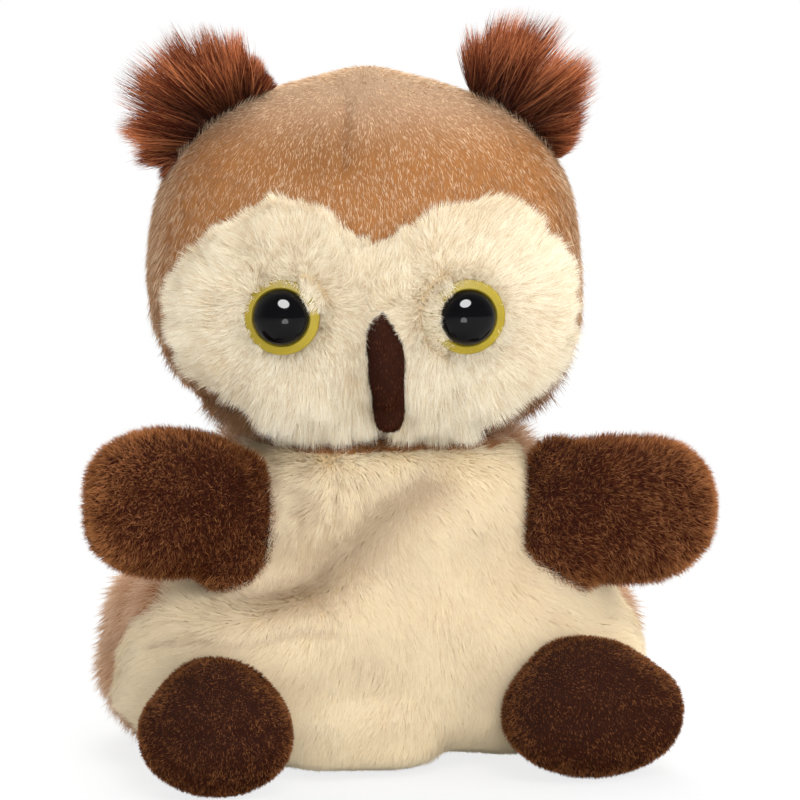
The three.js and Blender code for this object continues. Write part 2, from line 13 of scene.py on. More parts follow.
import bpy
import numpy as np
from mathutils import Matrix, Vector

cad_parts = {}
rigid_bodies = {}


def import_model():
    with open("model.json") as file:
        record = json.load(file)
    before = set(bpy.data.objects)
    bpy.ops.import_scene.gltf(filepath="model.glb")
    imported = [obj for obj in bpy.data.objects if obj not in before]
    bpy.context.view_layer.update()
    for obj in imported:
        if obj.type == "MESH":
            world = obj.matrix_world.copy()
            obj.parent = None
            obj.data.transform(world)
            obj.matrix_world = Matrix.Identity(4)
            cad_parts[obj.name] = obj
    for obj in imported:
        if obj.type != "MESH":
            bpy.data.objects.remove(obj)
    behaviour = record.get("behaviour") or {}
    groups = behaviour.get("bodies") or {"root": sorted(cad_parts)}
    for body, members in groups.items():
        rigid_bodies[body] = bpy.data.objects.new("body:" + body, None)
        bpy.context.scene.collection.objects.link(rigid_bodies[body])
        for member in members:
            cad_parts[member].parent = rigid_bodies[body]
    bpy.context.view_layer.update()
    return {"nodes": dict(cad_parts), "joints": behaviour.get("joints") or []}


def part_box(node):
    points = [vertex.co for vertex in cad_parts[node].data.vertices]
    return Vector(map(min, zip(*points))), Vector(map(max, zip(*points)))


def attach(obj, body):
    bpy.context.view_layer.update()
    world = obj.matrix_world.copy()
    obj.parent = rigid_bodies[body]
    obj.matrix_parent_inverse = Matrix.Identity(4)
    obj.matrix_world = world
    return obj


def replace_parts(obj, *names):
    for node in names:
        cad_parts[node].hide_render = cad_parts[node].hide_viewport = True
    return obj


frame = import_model()
joint_place = {joint["name"]: np.array(joint["pos_m"]) for joint in frame["joints"]}
joint_axis = {joint["name"]: np.array(joint["axis"]) for joint in frame["joints"]}

# %% [markdown]
# ## Units and the toy's own axis
#
# Every form below is written in millimetres round the toy's upright axis, which is the axis that the head
# turns on. A place matrix carries each form to the shared frame in metres. The head is stored a little
# turned, and its nodding axis says by how much.

# %% Place matrices
MM = 0.001
sides = {"left": -1, "right": 1}
body_axis = joint_place["head_turn"] * [1, 1, 0]
head_turn = math.atan2(joint_axis["head_nod"][1], joint_axis["head_nod"][0])


def turn_about(axis, angle):
    """The 4 by 4 matrix that turns by an angle in radians about the axis 0, 1 or 2, by the right hand."""
    made = np.eye(4)
    first, second = [(1, 2), (2, 0), (0, 1)][axis]
    made[first, first] = made[second, second] = math.cos(angle)
    made[first, second] = -math.sin(angle)
    made[second, first] = math.sin(angle)
    return made


def shift_by(x, y, z):
    """The 4 by 4 matrix that moves by x, y and z."""
    made = np.eye(4)
    made[:3, 3] = (x, y, z)
    return made


def carried(points, matrix):
    """Points moved by a 4 by 4 matrix, whatever the shape of the array that holds them."""
    return points @ matrix[:3, :3].T + matrix[:3, 3]


def unit(vectors):
    """Vectors brought to length one."""
    return vectors / np.maximum(np.linalg.norm(vectors, axis=-1, keepdims=True), 1e-6)


def steered(vectors, matrix):
    """Directions turned by a matrix and brought back to length one."""
    return unit(vectors @ matrix[:3, :3].T)


def metres_at(place):
    """The matrix from mm round a place to the frame's metres."""
    return shift_by(*place) @ np.diag([MM, MM, MM, 1.0])


to_metres = metres_at(body_axis)
body_place = to_metres
head_place = to_metres @ turn_about(2, head_turn)
print("head turned by", round(math.degrees(head_turn), 1), "degrees")

# %% [markdown]
# ## Camera
#
# The photograph looks at the toy from slightly above and from its right-hand side, with a long lens. The
# camera is placed by those angles, and its aim is a point beside the toy's axis, because the toy isn't
# centred in the picture.

# %% Camera
camera_azimuth = math.radians(-12.0)
camera_elevation = math.radians(9.0)
camera_distance = 750.0
aim_right = 5.43
aim_up = 55.6
pixels_per_mm = 6.08
picture_pixels = 800
sensor_mm = 36.0


def view_axes(azimuth, elevation):
    """The right, up and back directions of a camera or lamp that looks to the middle from two angles, in
    radians."""
    right = np.array([math.cos(azimuth), math.sin(azimuth), 0.0])
    level = math.cos(elevation)
    back = np.array([math.sin(azimuth) * level, -math.cos(azimuth) * level, math.sin(elevation)])
    return right, np.cross(back, right), back


def placed(axes, position):
    """The 4 by 4 matrix whose columns are three directions and a position."""
    made = np.eye(4)
    made[:3, :3] = np.stack(axes, -1)
    made[:3, 3] = position
    return made


def make_camera():
    """The camera stands on the line through the aim point at the two angles, at the chosen distance."""
    right, up, back = view_axes(camera_azimuth, camera_elevation)
    place = carried(right * aim_right + up * aim_up + back * camera_distance, to_metres)
    data = bpy.data.cameras.new("camera")
    data.sensor_width = sensor_mm
    data.lens = pixels_per_mm * camera_distance * sensor_mm / picture_pixels
    data.clip_start = 0.01
    camera = bpy.data.objects.new("camera", data)
    bpy.context.scene.collection.objects.link(camera)
    camera.matrix_world = placed((right, up, back), place).T.tolist()
    bpy.context.scene.camera = camera
    return camera


camera = make_camera()
print("camera lens", round(camera.data.lens, 1), "mm")

# %% [markdown]
# ## Soft forms
#
# A stuffed form swells where the stuffing is and is drawn in where its lobes meet. It could be sculpted,
# but a field does it in one line: each lobe is a rounded ball that pulls on the space round it, and the skin
# lies where the pulls add up to one. The skin is found along straight lines from the form's middle.

# %% Soft forms
blend_sharpness = 5.0


def lobe(centre, radii, power=2.0):
    """One stuffed lobe: its centre, its three radii in mm and how square it is."""
    return np.array(centre, float), np.array(radii, float), power


def pull(points, lobes):
    """Each lobe pulls with exp(sharpness (1 - d)), d being the sum over the axes of (distance / radius) to
    the lobe's power. The answer is the sum of the pulls, less one: above zero inside the form."""
    total = np.full(points.shape[:-1], -1.0)
    for centre, radii, power in lobes:
        reach = (np.abs((points - centre) / radii) ** power).sum(-1)
        total += np.exp(np.maximum(blend_sharpness * (1 - reach), -60))
    return total


def skin_reach(directions, centre, lobes, furthest=70.0, steps=48, halvings=16):
    """The distance from the centre to the outermost skin along each direction: even steps find the last
    one inside the form, and halving the next step closes on the skin."""
    distance = np.linspace(furthest, 2.0, steps)
    inside = pull(centre + directions[..., None, :] * distance[:, None], lobes) > 0
    last = np.argmax(inside, axis=-1)
    low = distance[last]
    high = low + (furthest - 2.0) / (steps - 1)
    for _ in range(halvings):
        middle = (low + high) / 2
        within = pull(centre + directions * middle[..., None], lobes) > 0
        low = np.where(within, middle, low)
        high = np.where(within, high, middle)
    return (low + high) / 2


ball_reach = skin_reach(np.array([[1.0, 0, 0]]), np.zeros(3), [lobe((0, 0, 0), (10, 10, 10))])
print("a lobe of radius 10 mm alone has its skin at", round(float(ball_reach[0]), 2), "mm")

# %% Closed surfaces


def revolved(profile, turns):
    """A closed surface of revolution: the profile's radius and height carried round in even turns, with one
    point where the profile starts and one where it ends, both on the axis. Gives points, triangles and
    quads."""
    profile = np.array(profile, float)
    angle = np.linspace(0, 2 * np.pi, turns, endpoint=False)[None, :]
    radius, height = profile[1:-1, 0][:, None], profile[1:-1, 1][:, None]
    grid = np.stack([radius * np.cos(angle), radius * np.sin(angle), height * np.ones_like(angle)], -1)
    points = np.concatenate([[[0, 0, profile[0, 1]]], grid.reshape(-1, 3), [[0, 0, profile[-1, 1]]]])
    row = np.arange(len(profile) - 3)[:, None] * turns + 1
    ring = np.arange(turns)
    after = (ring + 1) % turns
    quads = np.stack([row + ring, row + after, row + turns + after, row + turns + ring], -1).reshape(-1, 4)
    last = len(points) - 1
    start = last - turns
    first_fan = np.stack([np.zeros_like(ring), 1 + after, 1 + ring], -1)
    last_fan = np.stack([start + ring, start + after, np.full_like(ring, last)], -1)
    return points, np.concatenate([first_fan, last_fan]), quads


def soft_skin(lobes, centre, rows, columns):
    """A closed skin: each direction of a ball carried out to the skin. Gives points, triangles, quads."""
    polar = np.linspace(0, np.pi, rows + 1)
    directions, triangles, quads = revolved(np.stack([np.sin(polar), -np.cos(polar)], -1), columns)
    points = centre + directions * skin_reach(directions, np.array(centre, float), lobes)[:, None]
    return points, triangles, quads


def all_triangles(triangles, quads):
    """The triangles, and each quad split in two."""
    return np.concatenate([triangles, quads[:, [0, 1, 2]], quads[:, [0, 2, 3]]])


def corner_normals(points, triangles, quads):
    """The normal at each point: the sum of its faces' area vectors, brought to length one."""
    split = all_triangles(triangles, quads)
    area = np.cross(points[split[:, 1]] - points[split[:, 0]], points[split[:, 2]] - points[split[:, 0]])
    total = np.zeros_like(points)
    for corner in range(3):
        for axis in range(3):
            total[:, axis] += np.bincount(split[:, corner], area[:, axis], len(points))
    return unit(total)


ball = soft_skin([lobe((0, 0, 0), (10, 10, 10))], (0, 0, 0), 12, 24)
print("a ball in 12 rows of 24:", len(ball[0]), "points,", len(all_triangles(*ball[1:])), "triangles")

# %% Noise, steps and bumps


def ripple(points, scale, seed):
    """Smooth noise of about -1 to 1: eight sine waves that cross the space in random directions, with
    wave lengths near the scale in mm."""
    random = np.random.default_rng(seed)
    waves = random.normal(size=(8, 3))
    size = scale * np.linalg.norm(waves, axis=1, keepdims=True)
    waves *= 2 * np.pi * random.uniform(0.6, 1.5, (8, 1)) / size
    return np.sin(points @ waves.T + random.uniform(0, 2 * np.pi, 8)).sum(-1) / 2.8


def rise(value, low, high):
    """A smooth step from 0 at low to 1 at high."""
    share = np.clip((value - low) / (high - low), 0, 1)
    return share * share * (3 - 2 * share)


def bell(value, centre, width):
    """A bell-shaped bump: 1 at the centre, 0.37 one width away and almost nothing from two widths on."""
    return np.exp(-(((value - centre) / width) ** 2))


print("a step half way:", rise(0.5, 0, 1), "and a bump one width away:", round(float(bell(1, 0, 1)), 2))

# %% [markdown]
# ## Putting surfaces into Blender
#
# Two kinds of mesh are needed: the closed skins, and the strands. Both are written as whole arrays. The
# strands also carry a normal of their own, leaning towards the skin's normal, so that light falls over the
# pile as over one soft body and doesn't glitter from each flat hair.

# %% Mesh writers


def mesh_object(name, points, faces_by_size, matrix):
    """A mesh object from points in a form's own mm and face arrays of three or four corners."""
    mesh = bpy.data.meshes.new(name)
    world = carried(points, matrix)
    mesh.vertices.add(len(world))
    mesh.vertices.foreach_set("co", world.astype(np.float32).ravel())
    corners = np.concatenate([faces.ravel() for faces in faces_by_size]).astype(np.int32)
    sizes = np.concatenate([np.full(len(faces), faces.shape[1]) for faces in faces_by_size])
    starts = np.concatenate([[0], np.cumsum(sizes)[:-1]]).astype(np.int32)
    mesh.loops.add(len(corners))
    mesh.loops.foreach_set("vertex_index", corners)
    mesh.polygons.add(len(sizes))
    mesh.polygons.foreach_set("loop_start", starts)
    mesh.update(calc_edges=True)
    mesh.polygons.foreach_set("use_smooth", np.ones(len(sizes), bool))
    made = bpy.data.objects.new(name, mesh)
    bpy.context.scene.collection.objects.link(made)
    return made


def skin_form(lobes, centre, rows, columns, shape=None):
    """A soft form's skin as a dictionary. The shape function, if any, moves its points along the normals by
    the mm that it gives."""
    points, triangles, quads = soft_skin(lobes, centre, rows, columns)
    normals = corner_normals(points, triangles, quads)
    if shape is not None:
        points = points + normals * shape(points, normals)[:, None]
        normals = corner_normals(points, triangles, quads)
    return {"points": points, "triangles": triangles, "quads": quads, "normals": normals}


def flat_floor(form, floor):
    """Points below the floor come up to it, as the pellets press the seat flat."""
    form["points"][:, 2] = np.maximum(form["points"][:, 2], floor)
    return form


print("mesh writers ready")

# %% [markdown]
# ## Body, head, wings and feet
#
# The forms repeat the stuffed solids of the frame. What the solids leave out is added here as small moves
# along the normal: the deep fold at the waist, the dent that each eye's shank pulls into the face, and
# the seams, where the thread draws two panels in.

# %% Body lobes and sewn lines
seat_half_height = 17.5
chest_height = 33.0
neck_height = joint_place["head_turn"][2] / MM
thigh_radius = 18.0
rump_half_height = 16.0
floor_gap = 0.05
collar_edge = (50.4, 51.0)
body_lobes = [
    lobe((0, 0, seat_half_height), (42.5, 28, seat_half_height), 2.6),
    lobe((0, 0, chest_height), (27.5, 23.5, 19.5), 3),
    *[lobe((side * 21, -10, thigh_radius), [thigh_radius] * 3, 2.2) for side in sides.values()],
    lobe((0, 9, rump_half_height + 0.5), (28, 18, rump_half_height), 2.6),
    lobe((-5.5, -17, 7.5), (13.5, 13.5, 7.5), 2.6),
    lobe((0, -9, 43), (20, 13.5, 10), 3),
]
waist_fold = np.array(
    [(4.5, 45.8), (-0.4, 42.6), (-4.6, 38.9), (-8.7, 34.8), (-14.5, 30.6), (-21.0, 28.6), (-30.0, 28.2)]
)
fold_depth = 3.8
lap_fold = np.array([(26.0, 28.0), (33.0, 25.0), (41.0, 20.0)])
lap_dart = np.array([(-37.0, 22.4), (-30.0, 23.8), (-24.0, 23.6), (-17.0, 25.0), (-11.0, 25.2)])
hair_drop = 3.0
fold_shade_drop = 1.2
hair_star = np.array([-13.0, 44.0])


def distance_to_line(x, z, line):
    """The distance in the front view from each point to a bent line, and how far along the line it lies."""
    nearest = np.full(x.shape, np.inf)
    along = np.zeros(x.shape)
    for index in range(len(line) - 1):
        start_x, start_z = line[index]
        run_x, run_z = line[index + 1] - line[index]
        length = np.hypot(run_x, run_z)
        share = np.clip(((x - start_x) * run_x + (z - start_z) * run_z) / length**2, 0, 1)
        gap = np.hypot(x - start_x - share * run_x, z - start_z - share * run_z)
        along = np.where(gap < nearest, (index + share) / (len(line) - 1), along)
        nearest = np.minimum(gap, nearest)
    return nearest, along


def fold_height(x):
    """The waist fold's height at each X."""
    return np.interp(x, waist_fold[::-1, 0], waist_fold[::-1, 1])


side_seam_places = {
    "left": [(0.0, 20.0), (8.0, 13.0), (14.0, 8.5), (19.0, 7.5), (23.5, 13.0), (27.0, 18.5), (32.0, 15.0)],
    "right": [(0.0, 15.0), (16.0, 5.5), (27.5, 9.5)],
}
for places in side_seam_places.values():
    places.extend([(37.0, 18.0), (41.0, 18.0), (neck_height, 8.0)])


def side_seam(height, side_name):
    """The Y of one side seam at each height: smooth steps from one of its places to the next."""
    places = side_seam_places[side_name]
    made = -places[0][1] * np.ones_like(height)
    for before, after in zip(places, places[1:]):
        made = made - (after[1] - before[1]) * rise(height, before[0], after[0])
    return made


def behind_seam(points):
    """How far behind the side seam a point lies, in mm. The middle of the front is in front of it up to the
    collar, a narrow strip of the back's cloth all round the neck."""
    x, y, z = np.moveaxis(points, -1, 0)
    middle = 20.0 * rise(-np.abs(x), -22, -17) * (y < 0)
    middle = middle - 50.0 * rise(z, *collar_edge)
    return y - np.where(x < 0, side_seam(z, "left"), side_seam(z, "right")) - middle


print("side seams at 30 mm up, Y in mm:", {name: round(float(side_seam(30.0, name)), 1) for name in sides})

# %% Body skin


def body_shape(points, normals):
    """Folds and seams of the body in mm: the waist fold is a bell-shaped groove with a wide swell below it,
    cut higher than it shows, because hair hangs over it. The hips are fuller low down and hollow under the
    wings, and the right shoulder is full beside the neck."""
    x, y, z = points.T
    front = rise(-y, 6, 16)
    gap, along = distance_to_line(x, z - hair_drop, waist_fold)
    below = rise(fold_height(x) - z + hair_drop, -3, 3)
    depth = fold_depth * np.sin(np.pi * np.clip(0.06 + 0.74 * along, 0, 1)) ** 0.8
    move = -depth * bell(gap, 0, 4.2) * front
    move += 2.4 * below * (1 - bell(gap, 0, 5)) * bell(gap, 0, 17) * front
    right_hip, left_hip = rise(x, 28, 40), rise(-x, 28, 40)
    move += 1.3 * right_hip * bell(z, 16, 7) + 1.2 * left_hip * bell(z, 9, 6)
    move -= (1.4 * rise(x, 26, 38) + 0.3 * rise(-x, 26, 38)) * bell(z, 25, 4.5)
    move -= 0.8 * left_hip * bell(z, 19, 5)
    move += 2.4 * bell(x, 25, 6) * bell(z, 49, 4) * rise(y, -10, -3) * rise(-y, -20, -12)
    move -= 1.8 * bell(distance_to_line(x, z, lap_fold)[0], 0, 3.0) * front
    move -= 0.3 * bell(distance_to_line(x, z, lap_dart)[0], 0, 0.8) * front
    move -= 0.9 * bell(behind_seam(points), 0, 1.6)
    move -= 0.7 * bell(x, 0, 1.5) * (y > 0) * rise(z, 4, 10)
    return move + 0.5 * ripple(points, 26, 5)


body_form = flat_floor(skin_form(body_lobes, (0, 0, 25.25), 120, 200, body_shape), floor_gap)
print("body skin:", len(body_form["points"]), "points")

# %% Head lobes and sewn lines
head_centre = np.array([0, 0, 81.0])
head_half_width = 33.4
cheek_radius = 18.0
head_lobes = [
    lobe(head_centre, (head_half_width, 27.5, 28), 2.3),
    *[lobe((side * 14.6, -8, 73.2), [cheek_radius] * 3) for side in sides.values()],
]
eye_offset = 14.4
eye_height = 73.5
beak_offset = 1.4
face_seam = -17.0
chin_height = 55.3
nape_seam_height = 73.0
tuft_arc = (34.0, 63.0)
crown_dart = np.array([(-4.2, 106.0), (-5.0, 97.0)])
brow_peak_out = {"left": 13.8, "right": 17.5}
brow_peak_height = 89.8
brow_dip = 84.0
brow_side = 74.5


def brow_height(x):
    """The face panel's upper edge in the front view: a sine-like rise from the dip to each peak, then a
    fall towards the side."""
    side = np.abs(x)
    peak = np.where(x < 0, brow_peak_out["left"], brow_peak_out["right"])
    inner = brow_dip + (brow_peak_height - brow_dip) * np.sin(np.pi / 2 * np.minimum(side / peak, 1)) ** 1.6
    out = np.clip((side - peak) / (head_half_width - peak), 0, 1)
    return np.where(side < peak, inner, brow_peak_height + (brow_side - brow_peak_height) * out**1.5)


def face_share(points):
    """How far inside the face panel a point lies, in mm: above zero on the panel, which ends at the brow
    line, at the side seam, which runs forward below the cheeks, and under the chin."""
    x, y, z = np.moveaxis(points, -1, 0)
    cheek = rise(np.abs(x), 9, 21)
    low = np.clip(70 - z, 0, 14)
    side = face_seam - 0.42 * low * cheek + 0.4 * low * (1 - cheek) - y - 1.9 * bell(z, 77, 6) * cheek
    return np.minimum(np.minimum(brow_height(x) - z, side), z - chin_height)


def nape_share(points):
    """How far below the nape seam a point off the face panel lies, in mm."""
    return np.minimum(nape_seam_height + 0.25 * points[..., 1] - points[..., 2], -face_share(points))


def eye_gaps(points):
    """The distance in the front view from each point to the left and the right eye."""
    x, z = points[..., 0], points[..., 2]
    return [np.hypot(x - side * eye_offset, z - eye_height) for side in sides.values()]


brow_places = np.array([-brow_peak_out["left"], 0, brow_peak_out["right"]])
print("the brow line's peaks and dip in mm:", brow_height(brow_places).tolist())

# %% Head skin


def head_shape(points, normals):
    """Moves on the head in mm: a dent round each eye, the dart and the seams drawn in, and the top and the
    sides a little fuller."""
    x, y, z = points.T
    front = rise(-y, 4, 14)
    move = np.zeros(len(points))
    for gap in eye_gaps(points):
        move -= bell(gap, 0, 7.5) * front
    move -= 0.8 * bell(distance_to_line(x, z, crown_dart)[0], 0, 1.1) * rise(-y, 2, 6)
    move += 0.9 * bell(x, 0, 5.5) * rise(z, 98, 106)
    move += 0.5 * rise(np.abs(x), 18, 30) * bell(z, 86, 12)
    move += 0.7 * rise(-x, 18, 30) * bell(z, 78, 9)
    move -= 0.7 * bell(face_share(points), 0, 1.4)
    move -= 0.5 * bell(nape_share(points), 0, 1.4) * (y > 0)
    return move + 0.35 * ripple(points, 30, 8)


head_form = skin_form(head_lobes, head_centre, 110, 180, head_shape)
print("head skin:", len(head_form["points"]), "points")

# %% Wing skins
wing_length = 27.5
wing_sweep = math.radians(14)
wing_end_rise = {"left": 1.4, "right": 0.1}
wing_longer = {"left": 0.15, "right": 0.0}
wing_root_rise = {"left": 0.0, "right": 0.7}
wing_corner = {"left": (3.6, 0.0, -3.2), "right": (4.8, -1.6, -4.4)}


def wing_place(side_name):
    """The wing's own frame: its root on the hinge, leaning with the hinge, and swept forward."""
    axis = joint_axis[f"wing_{side_name}_swing"]
    root = metres_at(joint_place[f"wing_{side_name}_swing"])
    lean = math.atan2(axis[0], axis[2])
    return root @ turn_about(1, lean) @ turn_about(2, -sides[side_name] * wing_sweep)


def wing_form(side_name):
    """A stubby paddle: a wide flat lobe, a narrow one at its sewn root, and one for the corner that hangs
    below the root."""
    side = sides[side_name]
    middle = wing_length * 0.52 + wing_longer[side_name]
    half_length = wing_length * 0.5 + wing_longer[side_name]
    corner_out, corner_forward, corner_up = wing_corner[side_name]
    lobes = [
        lobe((side * (middle + 0.3), 0, wing_end_rise[side_name]), (half_length, 5.6, 11.4), 2.5),
        lobe((side * wing_length * 0.14, 0, wing_root_rise[side_name]), (wing_length * 0.22, 3.4, 10.3), 2.6),
        lobe((side * corner_out, corner_forward, corner_up), (6.2, 4.5, 8.8), 3.0),
    ]

    def shape(points, normals):
        """The seam between the front and the rear panel, drawn in."""
        return -0.5 * bell(points[:, 1], 0, 1.2) + 0.3 * ripple(points, 14, 11 + side)

    return skin_form(lobes, (side * wing_length * 0.5, 0, 0), 60, 90, shape)


wing_forms = {name: wing_form(name) for name in sides}
print("wing skins:", {name: len(form["points"]) for name, form in wing_forms.items()}, "points")

# %% Foot skins
foot_half_width = {"left": 11.8, "right": 14.7}
foot_half_height = {"left": 11.1, "right": 11.5}
foot_top_out = {"left": 0.0, "right": -1.6}
foot_place_mm = {"left": (30.5, -32.0), "right": (30.3, -32.0)}
foot_turn = math.radians(8)
dimple_height = 11.5


def foot_place(side_name):
    """The foot's own frame: on the floor in front of the seat, turned out a little."""
    side = sides[side_name]
    out, forward = foot_place_mm[side_name]
    return to_metres @ shift_by(side * out, forward, 0) @ turn_about(2, side * foot_turn)


def foot_form(side_name):
    """An egg that is flat below, with a shallow dimple across its sole."""
    half_height = foot_half_height[side_name]
    half_width = foot_half_width[side_name]
    top_out = foot_top_out[side_name]
    lobes = [
        lobe((0, 0, half_height * 0.86), (half_width, 9.2, half_height * 0.86), 2.1),
        lobe((top_out, 0, half_height * 1.16), (half_width * 0.76, 8.0, half_height * 0.78), 2.0),
    ]

    def shape(points, normals):
        """The dimple, and the seam round the sole."""
        x, y, z = points.T
        dimple = -0.45 * bell(z, dimple_height, 1.3) * rise(-y, 4, 8)
        return dimple - 0.35 * bell(y, 0, 1.2) + 0.25 * ripple(points, 12, 21)

    return flat_floor(skin_form(lobes, (0, 0, half_height), 50, 80, shape), floor_gap)


foot_forms = {name: foot_form(name) for name in sides}
print("foot skins:", {name: len(form["points"]) for name, form in foot_forms.items()}, "points")

# %% [markdown]
# ## Colours
#
# Colours are written as they look on a screen, from 0 to 255, and turned into the linear values that
# Blender works in. A strand's own shade comes from its UV place: across is the strand's tone, up is the way
# from its root to its tip. One group of nodes turns that pair into colour for every kind of pile, and
# each material gives it four colours.

# %% Colours and shader nodes


def linear(red, green, blue):
    """A screen colour of 0 to 255 as linear values with an alpha of one: the screen's own curve undone."""
    share = np.array([red, green, blue]) / 255
    value = np.where(share <= 0.04045, share / 12.92, ((share + 0.055) / 1.055) ** 2.4)
    return (*value.tolist(), 1.0)


def fill_inputs(tree, node, inputs):
    """Sets a node's inputs, named or numbered: a socket is linked, and any other value is written."""
    for key, value in inputs.items():
        if isinstance(value, bpy.types.NodeSocket):
            tree.links.new(value, node.inputs[key])
        else:
            node.inputs[key].default_value = value


def add_node(tree, kind, inputs=None, **settings):
    """A new shader node with its settings and its inputs."""
    node = tree.nodes.new("ShaderNode" + kind)
    for name, value in settings.items():
        setattr(node, name, value)
    fill_inputs(tree, node, inputs or {})
    return node


def new_material(name):
    """A new material, its node tree and its shader."""
    material = bpy.data.materials.new(name)
    material.use_nodes = True
    return material, material.node_tree, material.node_tree.nodes["Principled BSDF"]


def colour_mix(tree, factor, first, second, **settings):
    """A mixed colour: first at 0, second at 1."""
    return add_node(tree, "Mix", {0: factor, 6: first, 7: second}, data_type="RGBA", **settings).outputs[2]


def shader_mix(tree, factor, first, second):
    """A mixed shader: first at 0, second at 1."""
    return add_node(tree, "MixShader", {0: factor, 1: first, 2: second}).outputs[0]


def calculated(tree, operation, first, second):
    """Two values put together by a math node."""
    return add_node(tree, "Math", {0: first, 1: second}, operation=operation).outputs[0]


def object_noise(tree, scale, detail=2.0):
    """Noise over the object's own place, at a scale for each metre."""
    place = add_node(tree, "TexCoord").outputs["Object"]
    noise = add_node(tree, "TexNoise", {"Vector": place, "Scale": scale, "Detail": detail})
    return noise.outputs["Fac"]


def fine_bump(tree, height, distance):
    """A soft bump from a height, its depth in metres."""
    return add_node(tree, "Bump", {"Strength": 0.3, "Distance": distance, "Height": height}).outputs["Normal"]


print("middle grey as a linear value:", round(linear(128, 128, 128)[0], 3))

# %% The pile group
strand_colours = ("Shaded root", "Shaded tip", "Light root", "Light tip")


def make_pile_group():
    """Colour of a strand: the tone picks between a shaded and a light pair, and the way along the strand
    blends from the pair's root colour to its tip colour."""
    group = bpy.data.node_groups.new("pile colour", "ShaderNodeTree")
    for name in ("Along", "Tone"):
        group.interface.new_socket(name=name, in_out="INPUT", socket_type="NodeSocketFloat")
    for name in strand_colours:
        group.interface.new_socket(name=name, in_out="INPUT", socket_type="NodeSocketColor")
    group.interface.new_socket(name="Colour", in_out="OUTPUT", socket_type="NodeSocketColor")
    given = group.nodes.new("NodeGroupInput").outputs
    shaded = colour_mix(group, given["Along"], given["Shaded root"], given["Shaded tip"])
    light = colour_mix(group, given["Along"], given["Light root"], given["Light tip"])
    mixed = colour_mix(group, given["Tone"], shaded, light)
    fill_inputs(group, group.nodes.new("NodeGroupOutput"), {"Colour": mixed})
    return group


pile_group = make_pile_group()
print("nodes in the pile group:", len(pile_group.nodes))

# %% Pile materials


def pile_material(name, shaded_root, shaded_tip, light_root, light_tip, sheen, through, veil, shine):
    """A pile's material: the group's colour, part of it let through to the far side, as fine fibre does, and
    a soft sheen. A strand is finer than its ribbon, so its shadow is only a veil."""
    material, tree, shader = new_material(name)
    place = add_node(tree, "UVMap", uv_map="OFBake").outputs[0]
    split = add_node(tree, "SeparateXYZ", {0: place}).outputs
    given = {"Tone": split["X"], "Along": split["Y"]}
    colours = [linear(*colour) for colour in (shaded_root, shaded_tip, light_root, light_tip)]
    given.update(zip(strand_colours, colours))
    colour = add_node(tree, "Group", given, node_tree=pile_group).outputs["Colour"]
    looks = {"Base Color": colour, "Roughness": 0.7, "Specular IOR Level": shine, "Sheen Weight": sheen}
    fill_inputs(tree, shader, looks | {"Sheen Roughness": 0.35, "Sheen Tint": given["Light tip"]})
    glow = add_node(tree, "BsdfTranslucent", {"Color": colour}).outputs[0]
    fibre = shader_mix(tree, through, shader.outputs[0], glow)
    share = calculated(tree, "MULTIPLY", add_node(tree, "LightPath").outputs["Is Shadow Ray"], veil)
    thin = shader_mix(tree, share, fibre, add_node(tree, "BsdfTransparent").outputs[0])
    fill_inputs(tree, tree.nodes["Material Output"], {"Surface": thin})
    return material


# Name; shaded root, shaded tip, light root, light tip; sheen, share let through, shadow's veil, shine
pile_rows = [
    ("cream pile", (198, 172, 136), (230, 213, 180), (244, 230, 200), (255, 251, 236), 0.3, 0.25, 0.75, 0.1),
    ("belly pile", (178, 150, 120), (200, 172, 140), (236, 218, 180), (251, 240, 213), 0.3, 0.25, 0.85, 0.1),
    ("tan pile", (118, 72, 34), (184, 130, 76), (204, 160, 114), (255, 236, 206), 0.5, 0.3, 0.5, 0.1),
    # The back pile is the tan pile's cloth in lighter, greyer colours: painted rim light for the back's edge
    ("back pile", (172, 112, 60), (212, 168, 124), (204, 154, 108), (250, 232, 210), 0.6, 0.4, 0.7, 0.1),
    ("nape pile", (98, 54, 28), (160, 108, 68), (170, 114, 68), (234, 192, 150), 0.4, 0.35, 0.6, 0.1),
    ("wing pile", (48, 16, 7), (104, 47, 22), (106, 48, 23), (240, 168, 106), 0.05, 0.35, 0.5, 0.02),
    ("foot pile", (46, 19, 8), (80, 39, 19), (98, 54, 28), (190, 126, 78), 0.12, 0.35, 0.5, 0.02),
    ("beak pile", (32, 11, 4), (54, 25, 12), (66, 32, 18), (150, 92, 60), 0.05, 0.35, 0.5, 0.02),
    ("tuft hair", (24, 8, 5), (102, 42, 23), (72, 26, 14), (236, 150, 98), 0.05, 0.3, 0.5, 0.05),
]
pile_materials = {row[0]: pile_material(*row) for row in pile_rows}
print("pile materials:", sorted(pile_materials))

# %% [markdown]
# ## Growing the pile
#
# Blender's own hair would do for the picture, but it leaves no mesh behind. Here every strand is a narrow
# ribbon that tapers to a point. Its root is scattered evenly over the skin. It leans along the comb
# direction, bends flatter towards its tip, and its tip is drawn towards its neighbours' so that locks form.

# %% Roots and locks
# Jitter and the warp's wave length in cells, and primes that number the cells without a pattern
cell_jitter = 0.3
cell_warp_scale = 5
cell_primes = np.array([73856093, 19349663, 83492791])


def everywhere(points):
    """The same weight at every point."""
    return np.ones(len(points))


def scatter(form, count, region, seed):
    """Root points spread evenly by area over the triangles, weighted by the region function at their
    middles. Gives points and skin normals, mixed from the corners by random shares."""
    random = np.random.default_rng(seed)
    points, normals = form["points"], form["normals"]
    split = all_triangles(form["triangles"], form["quads"])
    corners = points[split]
    area = np.linalg.norm(np.cross(corners[:, 1] - corners[:, 0], corners[:, 2] - corners[:, 0]), axis=1) / 2
    weight = area * region(corners.mean(1))
    chosen = split[random.choice(len(split), count, p=weight / weight.sum())]
    share = random.dirichlet((1, 1, 1), count)[..., None]
    return (points[chosen] * share).sum(1), unit((normals[chosen] * share).sum(1))


